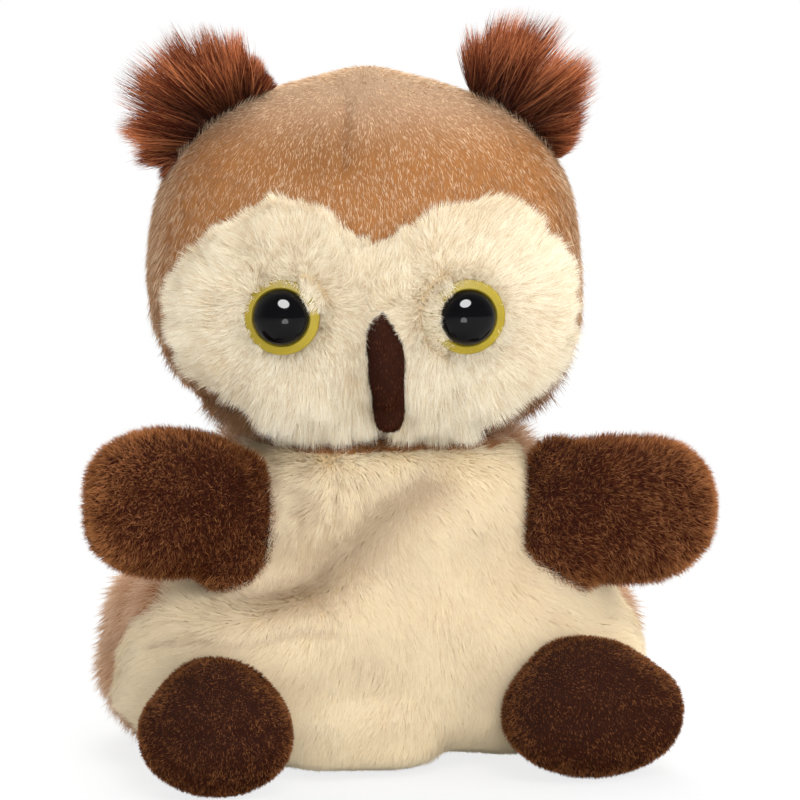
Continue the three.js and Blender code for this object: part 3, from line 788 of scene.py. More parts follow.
def combed(comb, normals, swirl):
    """The part of the comb direction that runs along the skin, at length one and turned about the
    skin's normal by the swirl, in radians."""
    lie = unit(comb - (comb * normals).sum(-1, keepdims=True) * normals)
    return lie * np.cos(swirl)[:, None] + np.cross(normals, lie) * np.sin(swirl)[:, None]


def gathered(tips, roots, size, seed):
    """The mean tip of each strand's lock: locks are cells of a grid in a warped and jittered space. The size
    is one for all axes, or three sizes for long cells. Whole numbers, one for each strand, name the locks
    themselves."""
    lock = size
    if len(np.atleast_1d(size)) != len(roots):
        random = np.random.default_rng(seed)
        wave = np.max(size) * cell_warp_scale
        warp = np.stack([ripple(roots, wave, seed + axis) for axis in (1, 2, 3)], -1)
        jitter = random.uniform(-cell_jitter, cell_jitter, roots.shape)
        cell = np.floor((roots + warp * size + jitter * size) / size).astype(np.int64)
        lock = np.unique((cell * cell_primes).sum(1), return_inverse=True)[1]
    members = np.maximum(np.bincount(lock), 1)
    middle = np.stack([np.bincount(lock, tips[:, axis]) / members for axis in range(3)], -1)
    return middle[lock], lock


trial_roots = scatter(body_form, 1000, everywhere, 1)[0]
trial_locks = gathered(trial_roots, trial_roots, 10.0, 1)[1]
print("a thousand trial roots on the body:", trial_locks.max() + 1, "locks of 10 mm")

# %% Strands
# A depth in mm, shares and tones from 0 to 1, and a prime that deals out the locks' flecks
root_depth = 0.15
ribbon_twist = 0.5
width_range = (0.75, 1.25)
tone_range = (0.01, 0.98)
tone_across = 0.004
level_margin = 0.01
fleck_prime = 7919
fleck_levels = 17


def grow(
    name, roots, normals, lie, length, matrix, material, seed, lift, tip_lift, width, locks, tone,
    fleck, tone_spread, glint=0.5, glints=0.05, lift_spread=9, astray=0.12, steps=2, taper=0.65, soft=0.75,
):
    """Strands as ribbons. The path is root + length (d0 s + (d1 - d0) s s / 2), where d0 and d1 lean from
    the skin by the two lifts, in degrees, and go astray by chance; tips are drawn to their lock; the ribbon
    lies across the skin's normal. Each strand's tone is the pile's, with its lock's fleck and a spread by
    chance, and a share of the strands are light glints. Its normal leans to the skin's by the soft share."""
    random = np.random.default_rng(seed)
    count = len(roots)
    lift = np.radians(lift + lift_spread * random.normal(size=count))[:, None]
    tip_lift = np.radians(tip_lift + lift_spread * random.normal(size=count))[:, None]
    stray = random.normal(size=(count, 3)) * astray
    start = unit(normals * np.sin(lift) + lie * np.cos(lift) + stray)
    finish = unit(normals * np.sin(tip_lift) + lie * np.cos(tip_lift) + stray * 1.5)
    along = np.linspace(0, 1, steps + 1)[None, :, None]
    path = start[:, None] * along + (finish - start)[:, None] * along**2 / 2
    path = roots[:, None] - normals[:, None] * root_depth + path * length[:, None, None]
    for turn, (size, strength) in enumerate(locks):
        middle, lock = gathered(path[:, -1], roots, size, seed + 7 * turn)
        path = path + strength * along**1.5 * (middle - path[:, -1])[:, None]
    lock_tone = (lock * fleck_prime) % fleck_levels / ((fleck_levels - 1) / 2) - 1
    tangent = unit(path[:, -1] - path[:, 0])
    across = unit(np.cross(tangent, normals + ribbon_twist * random.normal(size=(count, 3))))
    facing = np.cross(across, tangent)
    outward = np.where((facing * normals).sum(1, keepdims=True) < 0, -1.0, 1.0)
    across *= outward
    facing *= outward
    width = width * random.uniform(*width_range, count)
    half = across[:, None] * width[:, None, None] * np.linspace(1, taper, steps)[None, :, None] / 2
    edges = np.stack([path[:, :-1] - half, path[:, :-1] + half], 2).reshape(count, -1, 3)
    ribbon = np.concatenate([edges, path[:, -1:]], 1)
    per = 2 * steps + 1
    first = np.arange(count)[:, None] * per
    quads = [first + [2 * step, 2 * step + 1, 2 * step + 3, 2 * step + 2] for step in range(steps - 1)]
    quads = np.stack(quads, 1).reshape(-1, 4)
    tips = first + [per - 3, per - 2, per - 1]
    made = mesh_object(name, ribbon.reshape(-1, 3), [quads, tips], matrix)
    tone = tone + fleck * lock_tone + tone_spread * random.normal(size=count)
    # Painted highlights: a share of the strands get a much lighter tone in place of the fibres' glints
    tone += glint * (random.uniform(size=count) < glints)
    tone = np.clip(tone, *tone_range)[:, None]
    tone = tone + np.append(np.tile([0.0, tone_across], steps), tone_across / 2)
    level = np.append(np.repeat(np.arange(steps) / steps, 2), 1.0)
    level = level_margin + (1 - 2 * level_margin) * level
    point_uv = np.stack([tone, np.broadcast_to(level, (count, per))], -1).reshape(-1, 2)
    corners = np.concatenate([quads.ravel(), tips.ravel()])
    layer = made.data.uv_layers.new(name="OFBake")
    layer.data.foreach_set("uv", point_uv[corners].astype(np.float32).ravel())
    shade = np.repeat(steered(unit(normals * soft + facing * (1 - soft)), matrix), per, 0)
    keep = made.data.attributes.new("custom_normal", "FLOAT_VECTOR", "POINT")
    keep.data.foreach_set("vector", shade.astype(np.float32).ravel())
    made.data.materials.append(pile_materials[material])
    print(name, count, "strands,", len(quads) * 2 + len(tips), "triangles")
    return made


print("strand widths vary by", width_range, "and tones stay in", tone_range)

# %% [markdown]
# ## Cloth under the pile
#
# Under the pile lies a knitted backing. It shows only as a dark warm ground between strands, so its
# material is a dyed cloth with a fine noise. The dye is written on the points, because one skin carries
# several panels; on the head it also holds painted rim light towards the top and painted shade in one
# patch.

# %% Backing cloth and dyes


def backing_material(name):
    """Dyed knit: the point colour, mottled by noise, with a fine bump."""
    material, tree, shader = new_material(name)
    dye = add_node(tree, "Attribute", attribute_name="dye").outputs["Color"]
    grain = object_noise(tree, 1800, 3)
    knit = colour_mix(tree, 0.15, dye, grain, blend_type="MULTIPLY")
    looks = {"Base Color": knit, "Normal": fine_bump(tree, grain, 0.0002)}
    fill_inputs(tree, shader, looks | {"Roughness": 0.95, "Specular IOR Level": 0.03})
    return material


backing = backing_material("backing cloth")
dyes = {
    "cream": linear(230, 210, 174),
    "belly": linear(228, 204, 162),
    "parting": linear(176, 152, 110),
    "tan": linear(166, 112, 64),
    # Painted rim light: the paler tan that the head's backing takes towards the top
    "pale tan": linear(168, 140, 114),
    "nape": linear(100, 60, 34),
    "wing": linear(56, 24, 13),
    "foot": linear(48, 22, 12),
}
print("dyes:", sorted(dyes))

# %% Stuffed skins


def skin_piece(name, form, matrix, body, nodes, dye_of):
    """One stuffed piece: its skin, dyed, riding on its body, standing for its cloth and its stuffing."""
    made = mesh_object(name, form["points"], [form["triangles"], form["quads"]], matrix)
    dye = made.data.attributes.new("dye", "FLOAT_COLOR", "POINT")
    dye.data.foreach_set("color", dye_of(form["points"]).astype(np.float32).ravel())
    made.data.materials.append(backing)
    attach(made, body)
    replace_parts(made, *nodes)
    print(name, len(form["points"]), "points")
    return made


def one_dye(name):
    """The same dye at every point."""
    return lambda points: np.tile(dyes[name], (len(points), 1))


def crown_shade_patch(points):
    """A broad patch of the crown, left of its middle, that is painted darker as shade."""
    x, y, z = points.T
    return bell(x, -8, 8) * bell(z, 98.5, 4.5) * (y < 0)


def head_dye_and_painted_light(points):
    """Cream on the face panel, nape brown below the nape seam, tan elsewhere, greyer towards the top as
    painted rim light, and darker in one patch of the brow as painted shade."""
    top = rise(points[:, 2], 97, 109)[:, None]
    below = rise(nape_share(points), -1.2, 1.2)[:, None]
    # Painted rim light towards the top, and painted shade in one patch
    made = dyes["tan"] + (np.array(dyes["pale tan"]) - dyes["tan"]) * top
    made *= 1 - 0.25 * crown_shade_patch(points)[:, None]
    made += (np.array(dyes["nape"]) - made) * below
    made[face_share(points) > 0] = dyes["cream"]
    return made


def body_dye(points):
    """Cream in front of the side seam, darker where the dart parts the hair, and tan behind the seam."""
    x, y, z = points.T
    front = behind_seam(points) < 0
    made = np.where(front[:, None], dyes["belly"], dyes["tan"])
    share = (1 - rise(distance_to_line(x, z, lap_dart)[0], 0.3, 0.9)) * front * (y < 0)
    return made + (np.array(dyes["parting"]) - made) * share[:, None]


skin_piece(
    "body_skin", body_form, body_place, "torso",
    ["belly_panel", "back_panel_left", "back_panel_right", "body_fill"], body_dye,
)
skin_piece(
    "head_skin", head_form, head_place, "head",
    ["face_panel", "crown_panel", "head_back_left", "head_back_right", "head_fill"], head_dye_and_painted_light,
)
for side_name in sides:
    for limb, forms, place_of, parts in (
        ("wing", wing_forms, wing_place, ("front", "back", "fill")),
        ("foot", foot_forms, foot_place, ("sole", "upper", "fill")),
    ):
        body = f"{limb}_{side_name}"
        nodes = [f"{body}_{part}" for part in parts]
        form, place = forms[side_name], place_of(side_name)
        skin_piece(f"{body}_skin", form, place, body, nodes, one_dye(limb))

# %% [markdown]
# ## Face pile
#
# The face is the toy's longest cream pile. It is sewn so that the hair runs out from the eyes: up over the
# brows, out at the sides, and down past the beak. The hair is short beside the eyes and long at the
# panel's edge, where it hangs over the crown in points.

# %% Face pile


def over_eye(points):
    """Where the hair leans over an eye's rim instead of away from it: close to the eye, on the beak's side,
    and at the left eye only above its middle."""
    x, z = points[..., 0], points[..., 2]
    near = rise(-np.minimum(*eye_gaps(points)), -8.4, -6.6)
    above = np.where(x < 0, rise(z - eye_height, 0, 3), 1.0)
    return near * above * rise(eye_offset - np.abs(x), 1.0, 4.0)


def face_comb(points):
    """Away from both eyes, the nearer one counting more, downward beside the beak and under the eyes, and
    over each eye's rim on the beak's side."""
    comb = np.zeros(points.shape)
    for side in sides.values():
        out = points - [side * eye_offset, 0, eye_height]
        out[..., 1] = 0
        comb += out / (1 + (out**2).sum(-1, keepdims=True)) ** 1.1
    comb = unit(comb)
    beside = rise(-points[..., 2], -74, -66) * rise(-np.abs(points[..., 0]), -12, -3)
    comb[..., 2] -= 1.4 * beside
    comb[..., 1] += 0.15
    return comb * (1 - 2 * over_eye(points))[..., None]


def on_face(points, side):
    """One on a side's half of the face panel, clear of the eyes and the beak, and zero elsewhere."""
    x, y, z = points.T
    under_beak = (np.abs(x - beak_offset) < 2.2) & (z > 57) & (z < 73)
    under_eye = np.minimum(*eye_gaps(points)) <= 5.4
    return ((face_share(points) > -0.3) & (x * side > 0) & ~under_eye & ~under_beak) * 1.0


def grow_face(side_name, count=62000, seed=31):
    """Face strands of one half: 2.3 mm and upright at the eye, 5 to 6 mm and leaning at the edge, and up to
    9 mm in the point under the chin."""
    side = sides[side_name]
    seed += 5 * side
    roots, normals = scatter(head_form, count, lambda points: on_face(points, side), seed)
    random = np.random.default_rng(seed + 1)
    x, y, z = roots.T
    swirl = 0.3 * ripple(roots, 9, 3) + 0.12 * random.normal(size=count)
    lie = combed(face_comb(roots), normals, swirl)
    gap = np.minimum(*eye_gaps(roots))
    middle = rise(-np.abs(x), -9, -2)
    chin = rise(-z, -65, -57)
    over = over_eye(roots)
    length = 2.3 + 2.4 * rise(gap, 6, 15) - 0.7 * middle * (1 - chin) + 2.2 * chin + 1.3 * over
    length += chin * (2.6 * bell(x, -3.4, 2.6) - 1.5 * bell(x, 2.4, 1.8))
    length += 1.4 * rise(x, 15, 22) * rise(-z, -72, -60) - 0.6 * chin * rise(-x, 6, 10)
    uneven = 1 + 0.15 * ripple(roots, 5, 4) + 0.16 * chin * ripple(roots, 4, 36)
    length *= random.uniform(0.6, 1.2, count) * uneven
    upright = rise(-gap, -8.6, -6.2)
    under = rise(-normals[:, 2], 0.25, 0.85)
    # Painted light and shade in the tone: lighter near the eyes, where upright hair would show grey shade,
    # and at the chin; darker towards the brow and in a patch beside the beak.
    beak_side_shade = bell(x, -4.5, 3.2) * bell(z, 68, 7)
    turning = 4 * over * (1 - over)
    tone = 0.68 + 0.16 * ripple(roots, 9, 2) + 0.15 * upright + 0.15 * chin - 0.2 * rise(z, 80, 91)
    made = grow(
        f"face_{side_name}_pile", roots, normals, lie, length,
        head_place, "cream pile", seed + 2,
        lift=44 + 34 * upright - 22 * over * (1 - turning) + 28 * under,
        tip_lift=30 + 52 * upright - 48 * over * (1 - turning) + 30 * under + 20 * turning * (1 - upright),
        width=0.16, locks=((1.9, 0.28), (0.6, 0.42)), tone=tone - 0.3 * beak_side_shade, fleck=0.42, tone_spread=0.44,
        glint=0.35, astray=0.22, soft=0.6,
    )
    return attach(made, "head")


for side_name in sides:
    grow_face(side_name)

# %% [markdown]
# ## Crown and nape
#
# The crown is a short tan pile combed down from the top of the head. Below the nape seam a longer and
# darker pile hangs fluffier. Both are grown on the same skin, each inside its own panel.

# %% Crown pile


def down_comb(points, spread=0.3, lean=0.35):
    """Down the form, and outward from its middle line."""
    comb = np.zeros(points.shape)
    comb[..., 0] = spread * points[..., 0] / head_half_width
    comb[..., 1] = lean * np.tanh(points[..., 1] / 8)
    comb[..., 2] = -1
    return comb


def beside_tuft(points):
    """One on the strip of crown in front of an ear tuft, fading to zero round it."""
    x, y, z = points.T
    angle = np.degrees(np.arctan2(np.abs(x), z - head_centre[2]))
    return rise(-np.abs(angle - sum(tuft_arc) / 2), -18, -14) * bell(y, -3.6, 1.7)


def on_crown(points):
    """One on the crown panel, fading to zero over the nape seam."""
    return (face_share(points) < 0.2) * (1 - rise(nape_share(points), -0.4, 1.6))


def grow_crown(count=66000, seed=41):
    """Crown strands: about 1.5 mm, longer at the sides and at the nape seam, lying close, lighter towards
    the top, partly their own colour and partly painted rim light, dark at the dart, painted darker in one
    patch as shade, with flecks of lighter and darker hair. They stand up against the foot of each tuft."""
    roots, normals = scatter(head_form, count, on_crown, seed)
    random = np.random.default_rng(seed + 1)
    x, y, z = roots.T
    hem = rise(nape_share(roots), -4, 0)
    strip = beside_tuft(roots)
    comb = down_comb(roots)
    comb[:, 2] += 2.5 * strip
    swirl = 0.14 * ripple(roots, 12, 6) + 0.1 * random.normal(size=count)
    lie = combed(comb, normals, swirl)
    length = 1.45 + 0.9 * rise(np.abs(x), 26, 33) + 0.7 * strip + 1.2 * hem
    length *= random.uniform(0.7, 1.2, count)
    dart = bell(distance_to_line(x, z, crown_dart)[0], 0, 1.9) * (y < 0)
    # Painted light and shade in the tone: lighter towards the top, partly own colour and partly rim light,
    # and darker in the shaded patch
    tone = 0.24 + 0.36 * rise(z, 88, 106) + 0.22 * rise(z, 97, 107) - 0.4 * dart + 0.14 * ripple(roots, 9, 7)
    tone += 0.16 * ripple(roots, 17, 37) - 0.05 * strip - 0.16 * crown_shade_patch(roots) - 0.1 * hem
    made = grow(
        "crown_pile", roots, normals, lie, length, head_place, "tan pile", seed + 2,
        lift=22 + 20 * strip + 6 * hem, tip_lift=13 + 20 * strip, width=0.115,
        locks=(((0.3, 0.6, 1.3), 0.05),), tone=tone, fleck=0.5, tone_spread=0.56, glint=0.9, glints=0.12,
        lift_spread=6, astray=0.06, soft=0.65,
    )
    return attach(made, "head")


grow_crown()

# %% Nape pile


def grow_nape(count=38000, seed=51):
    """Nape strands: about 2 mm at the nape seam and up to 6 mm where they hang over the neck, shorter on the
    left, more upright under the chin, brown at the root and tan at the tip."""
    roots, normals = scatter(head_form, count, lambda points: rise(nape_share(points), -1.4, 0.4), seed)
    random = np.random.default_rng(seed + 1)
    x, y, z = roots.T
    swirl = 0.35 * ripple(roots, 10, 12) + 0.15 * random.normal(size=count)
    lie = combed(down_comb(roots, spread=0.9, lean=0.6), normals, swirl)
    low = rise(-z, -66, -58)
    under_chin = rise(-z, -60, -57) * rise(-y, 2, 8)
    down = rise(nape_share(roots), -1, 8)
    longer = 1.5 * rise(x, 4, 18) + 0.4 * rise(x, 17, 24) - 1.6 * rise(-x, 8, 18)
    length = 3.3 + low * (0.5 + longer * (1 - under_chin)) + 0.4 * under_chin
    length *= random.uniform(0.6, 1.2, count) * (0.55 + 0.45 * down)
    made = grow(
        "nape_pile", roots, normals, lie, length, head_place, "nape pile", seed + 2,
        lift=28 + 18 * down + 30 * under_chin, tip_lift=16 + 10 * down + 46 * under_chin, width=0.17,
        locks=((1.1, 0.25),), tone=0.36 + 0.16 * ripple(roots, 8, 13) + 0.12 * under_chin, fleck=0.1,
        tone_spread=0.16, glint=0.4, astray=0.2,
    )
    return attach(made, "head")


grow_nape()

# %% [markdown]
# ## Belly and back
#
# The belly pile lies down and a little outward, and it is brushed about, so broad patches lean their own
# way. The back has the same pile in tan, slightly longer.

# %% Belly pile


def on_belly(points):
    """One in front of the side seam and off the floor, zero elsewhere."""
    return ((behind_seam(points) < 0.3) & (points[:, 2] > 0.4)) * 1.0


def grow_belly(side_name, count=64000, seed=61):
    """Belly strands of one half: about 2.8 mm, swirled in broad patches. They run out from a star on the
    chest, show their darker roots at the dart, are painted darker in the waist fold as shade and lighter low
    down and under the chin as light, lie up over the wings' lower edges, and lie outward over the left hip's
    seam."""
    side = sides[side_name]
    seed += 5 * side
    own_half = lambda points: on_belly(points) * (points[:, 0] * side > 0)
    roots, normals = scatter(body_form, count, own_half, seed)
    random = np.random.default_rng(seed + 1)
    x, y, z = roots.T
    front = y < 0
    swirl = 0.35 * ripple(roots, 26, 14) + 0.16 * ripple(roots, 9, 15) + 0.12 * random.normal(size=count)
    comb = down_comb(roots, spread=0.5, lean=0)
    parted = (1 - rise(distance_to_line(x, z, lap_dart)[0], 0, 0.8)) * front
    from_star = roots - [hair_star[0], 0, hair_star[1]]
    from_star[:, 1] = 0
    reach = np.linalg.norm(from_star, axis=1) * np.where(front, 1, 9)
    star = bell(reach, 0, 10)
    comb += 0.9 * star[:, None] * from_star / (reach[:, None] + 3)
    against_wing = bell(z, 29.5, 3.5) * rise(np.abs(x), 19, 26)
    comb[:, 2] += (1.3 - 0.5 * side) * against_wing
    hip = rise(-x, 24, 34) * rise(-np.abs(z - 18), -14, -6) * front
    comb += hip[:, None] * [-1.4, 0, 0.6]
    lie = combed(comb, normals, swirl * (1 + star))
    upper = rise(z, 45, 51)
    length = 2.8 + (0.6 - 0.4 * side) * against_wing + 0.5 * star + 1.0 * hip
    length *= random.uniform(0.7, 1.2, count) * (0.5 + 0.5 * rise(z, 0, 6))
    # Painted shade in the waist fold, a little above the groove where the hair hangs over it; painted light
    # low down and under the chin
    gap, along = distance_to_line(x, z - fold_shade_drop, waist_fold)
    past = z - fold_shade_drop < fold_height(x)
    fold = bell(gap, 0, np.where(past, 3.6, 1.8)) * front * rise(1 - along, 0, 0.25)
    tone = 0.8 + 0.05 * ripple(roots, 14, 16) - 0.35 * parted - 0.46 * fold + 0.12 * rise(-z, -20, -5)
    tone += star * (0.22 * ripple(roots, 2.6, 27) - 0.1) + 0.1 * upper
    made = grow(
        f"belly_{side_name}_pile", roots, normals, lie, length,
        body_place, "belly pile", seed + 2,
        lift=30 + 16 * upper + 10 * against_wing + 14 * star + 8 * hip,
        tip_lift=20 + 16 * upper + 8 * against_wing + 8 * star + 6 * hip,
        width=0.17, locks=((2.2, 0.12), (0.9, 0.14)), tone=tone, fleck=0.05, tone_spread=0.07, glint=0.25,
        lift_spread=6, astray=0.1, soft=0.94,
    )
    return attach(made, "torso")


for side_name in sides:
    grow_belly(side_name)

# %% Back pile


def on_back(points):
    """One behind the side seam and off the floor, zero elsewhere."""
    return ((behind_seam(points) > -0.3) & (points[:, 2] > 0.4)) * 1.0


def grow_back(count=64000, seed=71):
    """Back strands: about 4 mm, tan, combed down, more upright on the shoulders, and shorter and flatter on
    the collar in front."""
    roots, normals = scatter(body_form, count, on_back, seed)
    random = np.random.default_rng(seed + 1)
    x, y, z = roots.T
    swirl = 0.35 * ripple(roots, 18, 17) + 0.15 * random.normal(size=count)
    lie = combed(down_comb(roots, spread=0.6, lean=0.3), normals, swirl)
    shoulder = rise(z, 38, 46)
    beside_neck = bell(x, 27, 4) - 1.8 * bell(x, -27, 5)
    collar = rise(z, 49, 51) * rise(-y, 2, 10)
    length = 4.0 + 0.5 * shoulder + 1.2 * beside_neck * shoulder - 2.2 * collar
    length *= random.uniform(0.6, 1.2, count) * (0.4 + 0.6 * rise(z, 0, 6))
    made = grow(
        "back_pile", roots, normals, lie, length, body_place, "back pile", seed + 2,
        lift=42 + 24 * shoulder - 20 * collar, tip_lift=26 + 30 * shoulder - 30 * collar, width=0.18,
        locks=((1.2, 0.2),), tone=0.42 + 0.14 * ripple(roots, 9, 18) - 0.1 * collar, fleck=0.1,
        tone_spread=0.16, glint=0.4, astray=0.18,
    )
    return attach(made, "torso")


grow_back()

# %% [markdown]
# ## Wings and feet
#
# A wing's pile runs from its sewn root to its end. The feet have the shortest pile of all, like velvet,
# which shows the form under it.

# %% Wing and foot pile


def grow_wing(side_name, count=42000, seed=81):
    """Wing strands: about 1.8 mm, nearly upright and leaning outward, with many light glints."""
    side = sides[side_name]
    seed += side
    roots, normals = scatter(wing_forms[side_name], count, everywhere, seed)
    random = np.random.default_rng(seed + 5)
    x, y, z = roots.T
    comb = np.tile([side * 1.0, 0, -0.25], (count, 1))
    comb[:, 2] += 0.5 * z / 12
    swirl = 0.35 * ripple(roots, 10, 19 + side) + 0.2 * random.normal(size=count)
    lie = combed(comb, normals, swirl)
    length = 1.8 * random.uniform(0.6, 1.2, count)
    # Painted rim light: the tone is lighter towards the wing's edge
    edge = rise(np.hypot((x - side * 14) / 14, z / 11.6), 0.7, 1.05)
    outer = rise(side * x, 8, 22)
    made = grow(
        f"wing_{side_name}_pile", roots, normals, lie, length,
        wing_place(side_name), "wing pile", seed + 9,
        lift=66, tip_lift=58, width=0.12, locks=((1.4, 0.12), (0.36, 0.35)),
        tone=0.08 + 0.3 * edge + 0.17 * outer + 0.09 * ripple(roots, 6, 22), fleck=0.16, tone_spread=0.2,
        glint=1.5, glints=0.08, astray=0.3, soft=0.5,
    )
    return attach(made, f"wing_{side_name}")


def grow_foot(side_name, count=30000, seed=91):
    """Foot strands: about 0.8 mm, velvet, painted lighter round the rim as rim light and darker along the
    dimple's crease as shade.
    """
    side = sides[side_name]
    seed += side
    roots, normals = scatter(foot_forms[side_name], count, lambda points: (points[:, 2] > 0.3) * 1.0, seed)
    random = np.random.default_rng(seed + 5)
    comb = np.tile([0.2 * side, -0.2, -1.0], (count, 1))
    swirl = 0.5 * ripple(roots, 8, 23 + side) + 0.25 * random.normal(size=count)
    lie = combed(comb, normals, swirl)
    length = 0.8 * random.uniform(0.7, 1.2, count)
    # Painted rim light round the rim, and painted shade along the dimple's crease
    rim = rise(np.hypot(normals[:, 0], normals[:, 2]), 0.6, 1.0)
    crease = bell(roots[:, 2], dimple_height, 1.0) * (roots[:, 1] < 0)
    tone = 0.09 - 0.04 * side + (0.7 + 0.15 * side) * rim + 0.14 * ripple(roots, 4, 24) - 0.16 * crease
    made = grow(
        f"foot_{side_name}_pile", roots, normals, lie, length,
        foot_place(side_name), "foot pile", seed + 9,
        lift=58, tip_lift=50, width=0.15, locks=((0.5, 0.3),), tone=tone, fleck=0.26,
        tone_spread=0.32, glint=1.0, glints=0.06, astray=0.3, soft=0.6,
    )
    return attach(made, f"foot_{side_name}")


for side_name in sides:
    grow_wing(side_name)
    grow_foot(side_name)

# %% [markdown]
# ## Ear tufts
#
# Each tuft is a strip of very long hair sewn along the upper edge of the crown. The strands fan out from
# the strip and gather in big pointed locks. Their roots stand on an arc of the head's own skin.

# %% Ear tufts
tuft_fan = {"left": (-34.0, 112.0), "right": (-5.0, 100.0)}
tuft_ball = {"left": (-28.8, 106.2, 15.2), "right": (25.6, 108.1, 14.4)}
tuft_half_width = 3.2


def trimmed(x, z, fan_x, fan_z, ball):
    """How far a strand may run in the front view before it meets the tuft's round outline: the far root of
    the quadratic for a line and a circle, at least 2 mm."""
    middle_x, middle_z, radius = ball
    back = (x - middle_x) * fan_x + (z - middle_z) * fan_z
    apart = (x - middle_x) ** 2 + (z - middle_z) ** 2 - radius**2
    return np.maximum(np.sqrt(np.maximum(back**2 - apart, 0)) - back, 2.0)


def grow_tuft(side_name, count=7400, tufts=84, seed=101):
    """Tuft strands in big locks. Each lock has a root on a short arc, a direction that fans sideways and by
    chance towards the front or the rear, a length trimmed to a round outline, and its strands come together
    at its tip."""
    side = sides[side_name]
    seed += side
    fan_from, fan_to = tuft_fan[side_name]
    random = np.random.default_rng(seed)
    lock = random.integers(0, tufts, count)
    share = (random.permutation(tufts) + 0.5) / tufts
    depth = random.uniform(-1, 1, tufts)
    fan = fan_from + (fan_to - fan_from) * share + 10 * random.normal(size=tufts)
    sideways = 0.75 * depth - 0.06 + 0.2 * random.normal(size=tufts)
    reach = random.uniform(0.72, 1.06, tufts)
    share = np.clip(share[lock] + 0.035 * random.normal(size=count), 0, 1)
    depth = np.clip(depth[lock] + 0.2 * random.normal(size=count), -1, 1)
    fan = np.radians(fan[lock] + 8 * random.normal(size=count))
    sideways = sideways[lock] + 0.12 * random.normal(size=count)
    angle = np.radians(tuft_arc[0] + (tuft_arc[1] - tuft_arc[0]) * share)
    direction = unit(np.stack([side * np.sin(angle), depth * tuft_half_width / 30, np.cos(angle)], -1))
    roots = head_centre + direction * skin_reach(direction, head_centre, head_lobes)[:, None]
    fan_x, fan_z = side * np.sin(fan), np.cos(fan)
    growth = unit(np.stack([fan_x, sideways, fan_z], -1))
    cut = 1 - random.uniform(0, 1, count) ** 2.6
    length = trimmed(roots[:, 0], roots[:, 2], fan_x, fan_z, tuft_ball[side_name])
    length = length * (0.4 + 0.62 * cut) * reach[lock]
    tone = 0.54 + 0.06 * side + 0.16 * random.normal(size=tufts)[lock]
    made = grow(
        f"ear_{side_name}_tuft", roots, growth, growth[:, [1, 2, 0]], length,
        head_place, "tuft hair", seed + 9,
        lift=90, tip_lift=90, width=0.2, locks=((lock, 0.68),),
        tone=tone - 0.34 * rise(-sideways, -0.2, 0.6), fleck=0.26, tone_spread=0.36, glint=1.3, glints=0.08,
        astray=0.13, steps=4, taper=0.4, soft=0.3,
    )
    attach(made, "head")
    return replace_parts(made, f"ear_tuft_{side_name}")


for side_name in sides:
    grow_tuft(side_name)

# %% [markdown]
# ## Eyes
#
# A moulded eye is a yellow disc with a round lip, and a black dome that stands in it. Both are turned
# shapes, so a profile is carried round the eye's own axis, finely enough that its highlight stays round.
# The eye's place and lean come from the frame: the middle of the eye's washer and the direction in which it
# is thinnest, with a small extra lean for the left eye.

# %% Eye forms


def arc_profile(centre, radius, start, end, count=9):
    """Points of a circle's arc in the plane of radius and height, angles in degrees."""
    angle = np.radians(np.linspace(start, end, count))
    return [(centre[0] + radius * math.cos(a), centre[1] + radius * math.sin(a)) for a in angle]


def node_points(name):
    """The points of a CAD node, in metres."""
    mesh = frame["nodes"][name].data
    points = np.zeros(len(mesh.vertices) * 3)
    mesh.vertices.foreach_get("co", points)
    return points.reshape(-1, 3)


eye_stand = 2.8
eye_lean = {"left": np.array([-0.11, 0.0, 0.08]), "right": np.zeros(3)}


def eye_place(side_name):
    """The eye's own frame from its washer: the washer's middle, and the direction in which it is thinnest,
    leaned a little, as the soft face lets one eye tip."""
    points = node_points(f"eye_{side_name}_washer")
    middle = (points.min(0) + points.max(0)) / 2
    spread = np.linalg.svd(np.unique(np.round(points - middle, 7), axis=0), full_matrices=False)[2]
    out = unit(spread[2] * -np.sign(spread[2][1]) + eye_lean[side_name])
    across = unit(np.cross([0, 0, 1.0], out))
    axes = (across * MM, np.cross(out, across) * MM, out * MM)
    return placed(axes, middle + out * eye_stand * MM)


eye_turns = 96
eye_radius = 6.0
pupil_radius = 4.4
pupil_foot = 0.55
pupil_rise = 3.0
iris_profile = [
    (0, -0.2),
    (4.0, -0.2),
    *arc_profile((eye_radius - 0.45, 0.25), 0.45, -90, 62, 9),
    (5.2, 0.82),
    *arc_profile((pupil_radius + 0.34, 0.86), 0.18, 60, 180, 7),
    (pupil_radius + 0.14, 0.6),
    (0, 0.6),
]
dome_angles = [math.radians(angle) for angle in np.linspace(0, 90, 15)[:-1]]
pupil_profile = [
    (0, pupil_foot),
    (pupil_radius, pupil_foot),
    *[(pupil_radius * math.cos(a), 1.0 + pupil_rise * math.sin(a)) for a in dome_angles],
    (0, 1.0 + pupil_rise),
]
print("points in the eye's profiles:", len(iris_profile), "and", len(pupil_profile))

# %% Eye plastic and the two eyes


def eye_material(name, colour, roughness, mottle, ior):
    """Moulded plastic: a colour slightly mottled by noise."""
    material, tree, shader = new_material(name)
    darker = tuple(value * (1 - mottle) for value in colour[:3]) + (1.0,)
    lighter = tuple(min(value * (1 + mottle), 1.0) for value in colour[:3]) + (1.0,)
    mottled = colour_mix(tree, object_noise(tree, 420, 4), darker, lighter)
    fill_inputs(tree, shader, {"Base Color": mottled, "Roughness": roughness, "IOR": ior})
    return material


iris_plastic = eye_material("yellow eye plastic", linear(160, 140, 40), 0.6, 0.14, 1.25)
pupil_plastic = eye_material("black eye plastic", linear(8, 7, 9), 0.06, 0.1, 1.22)


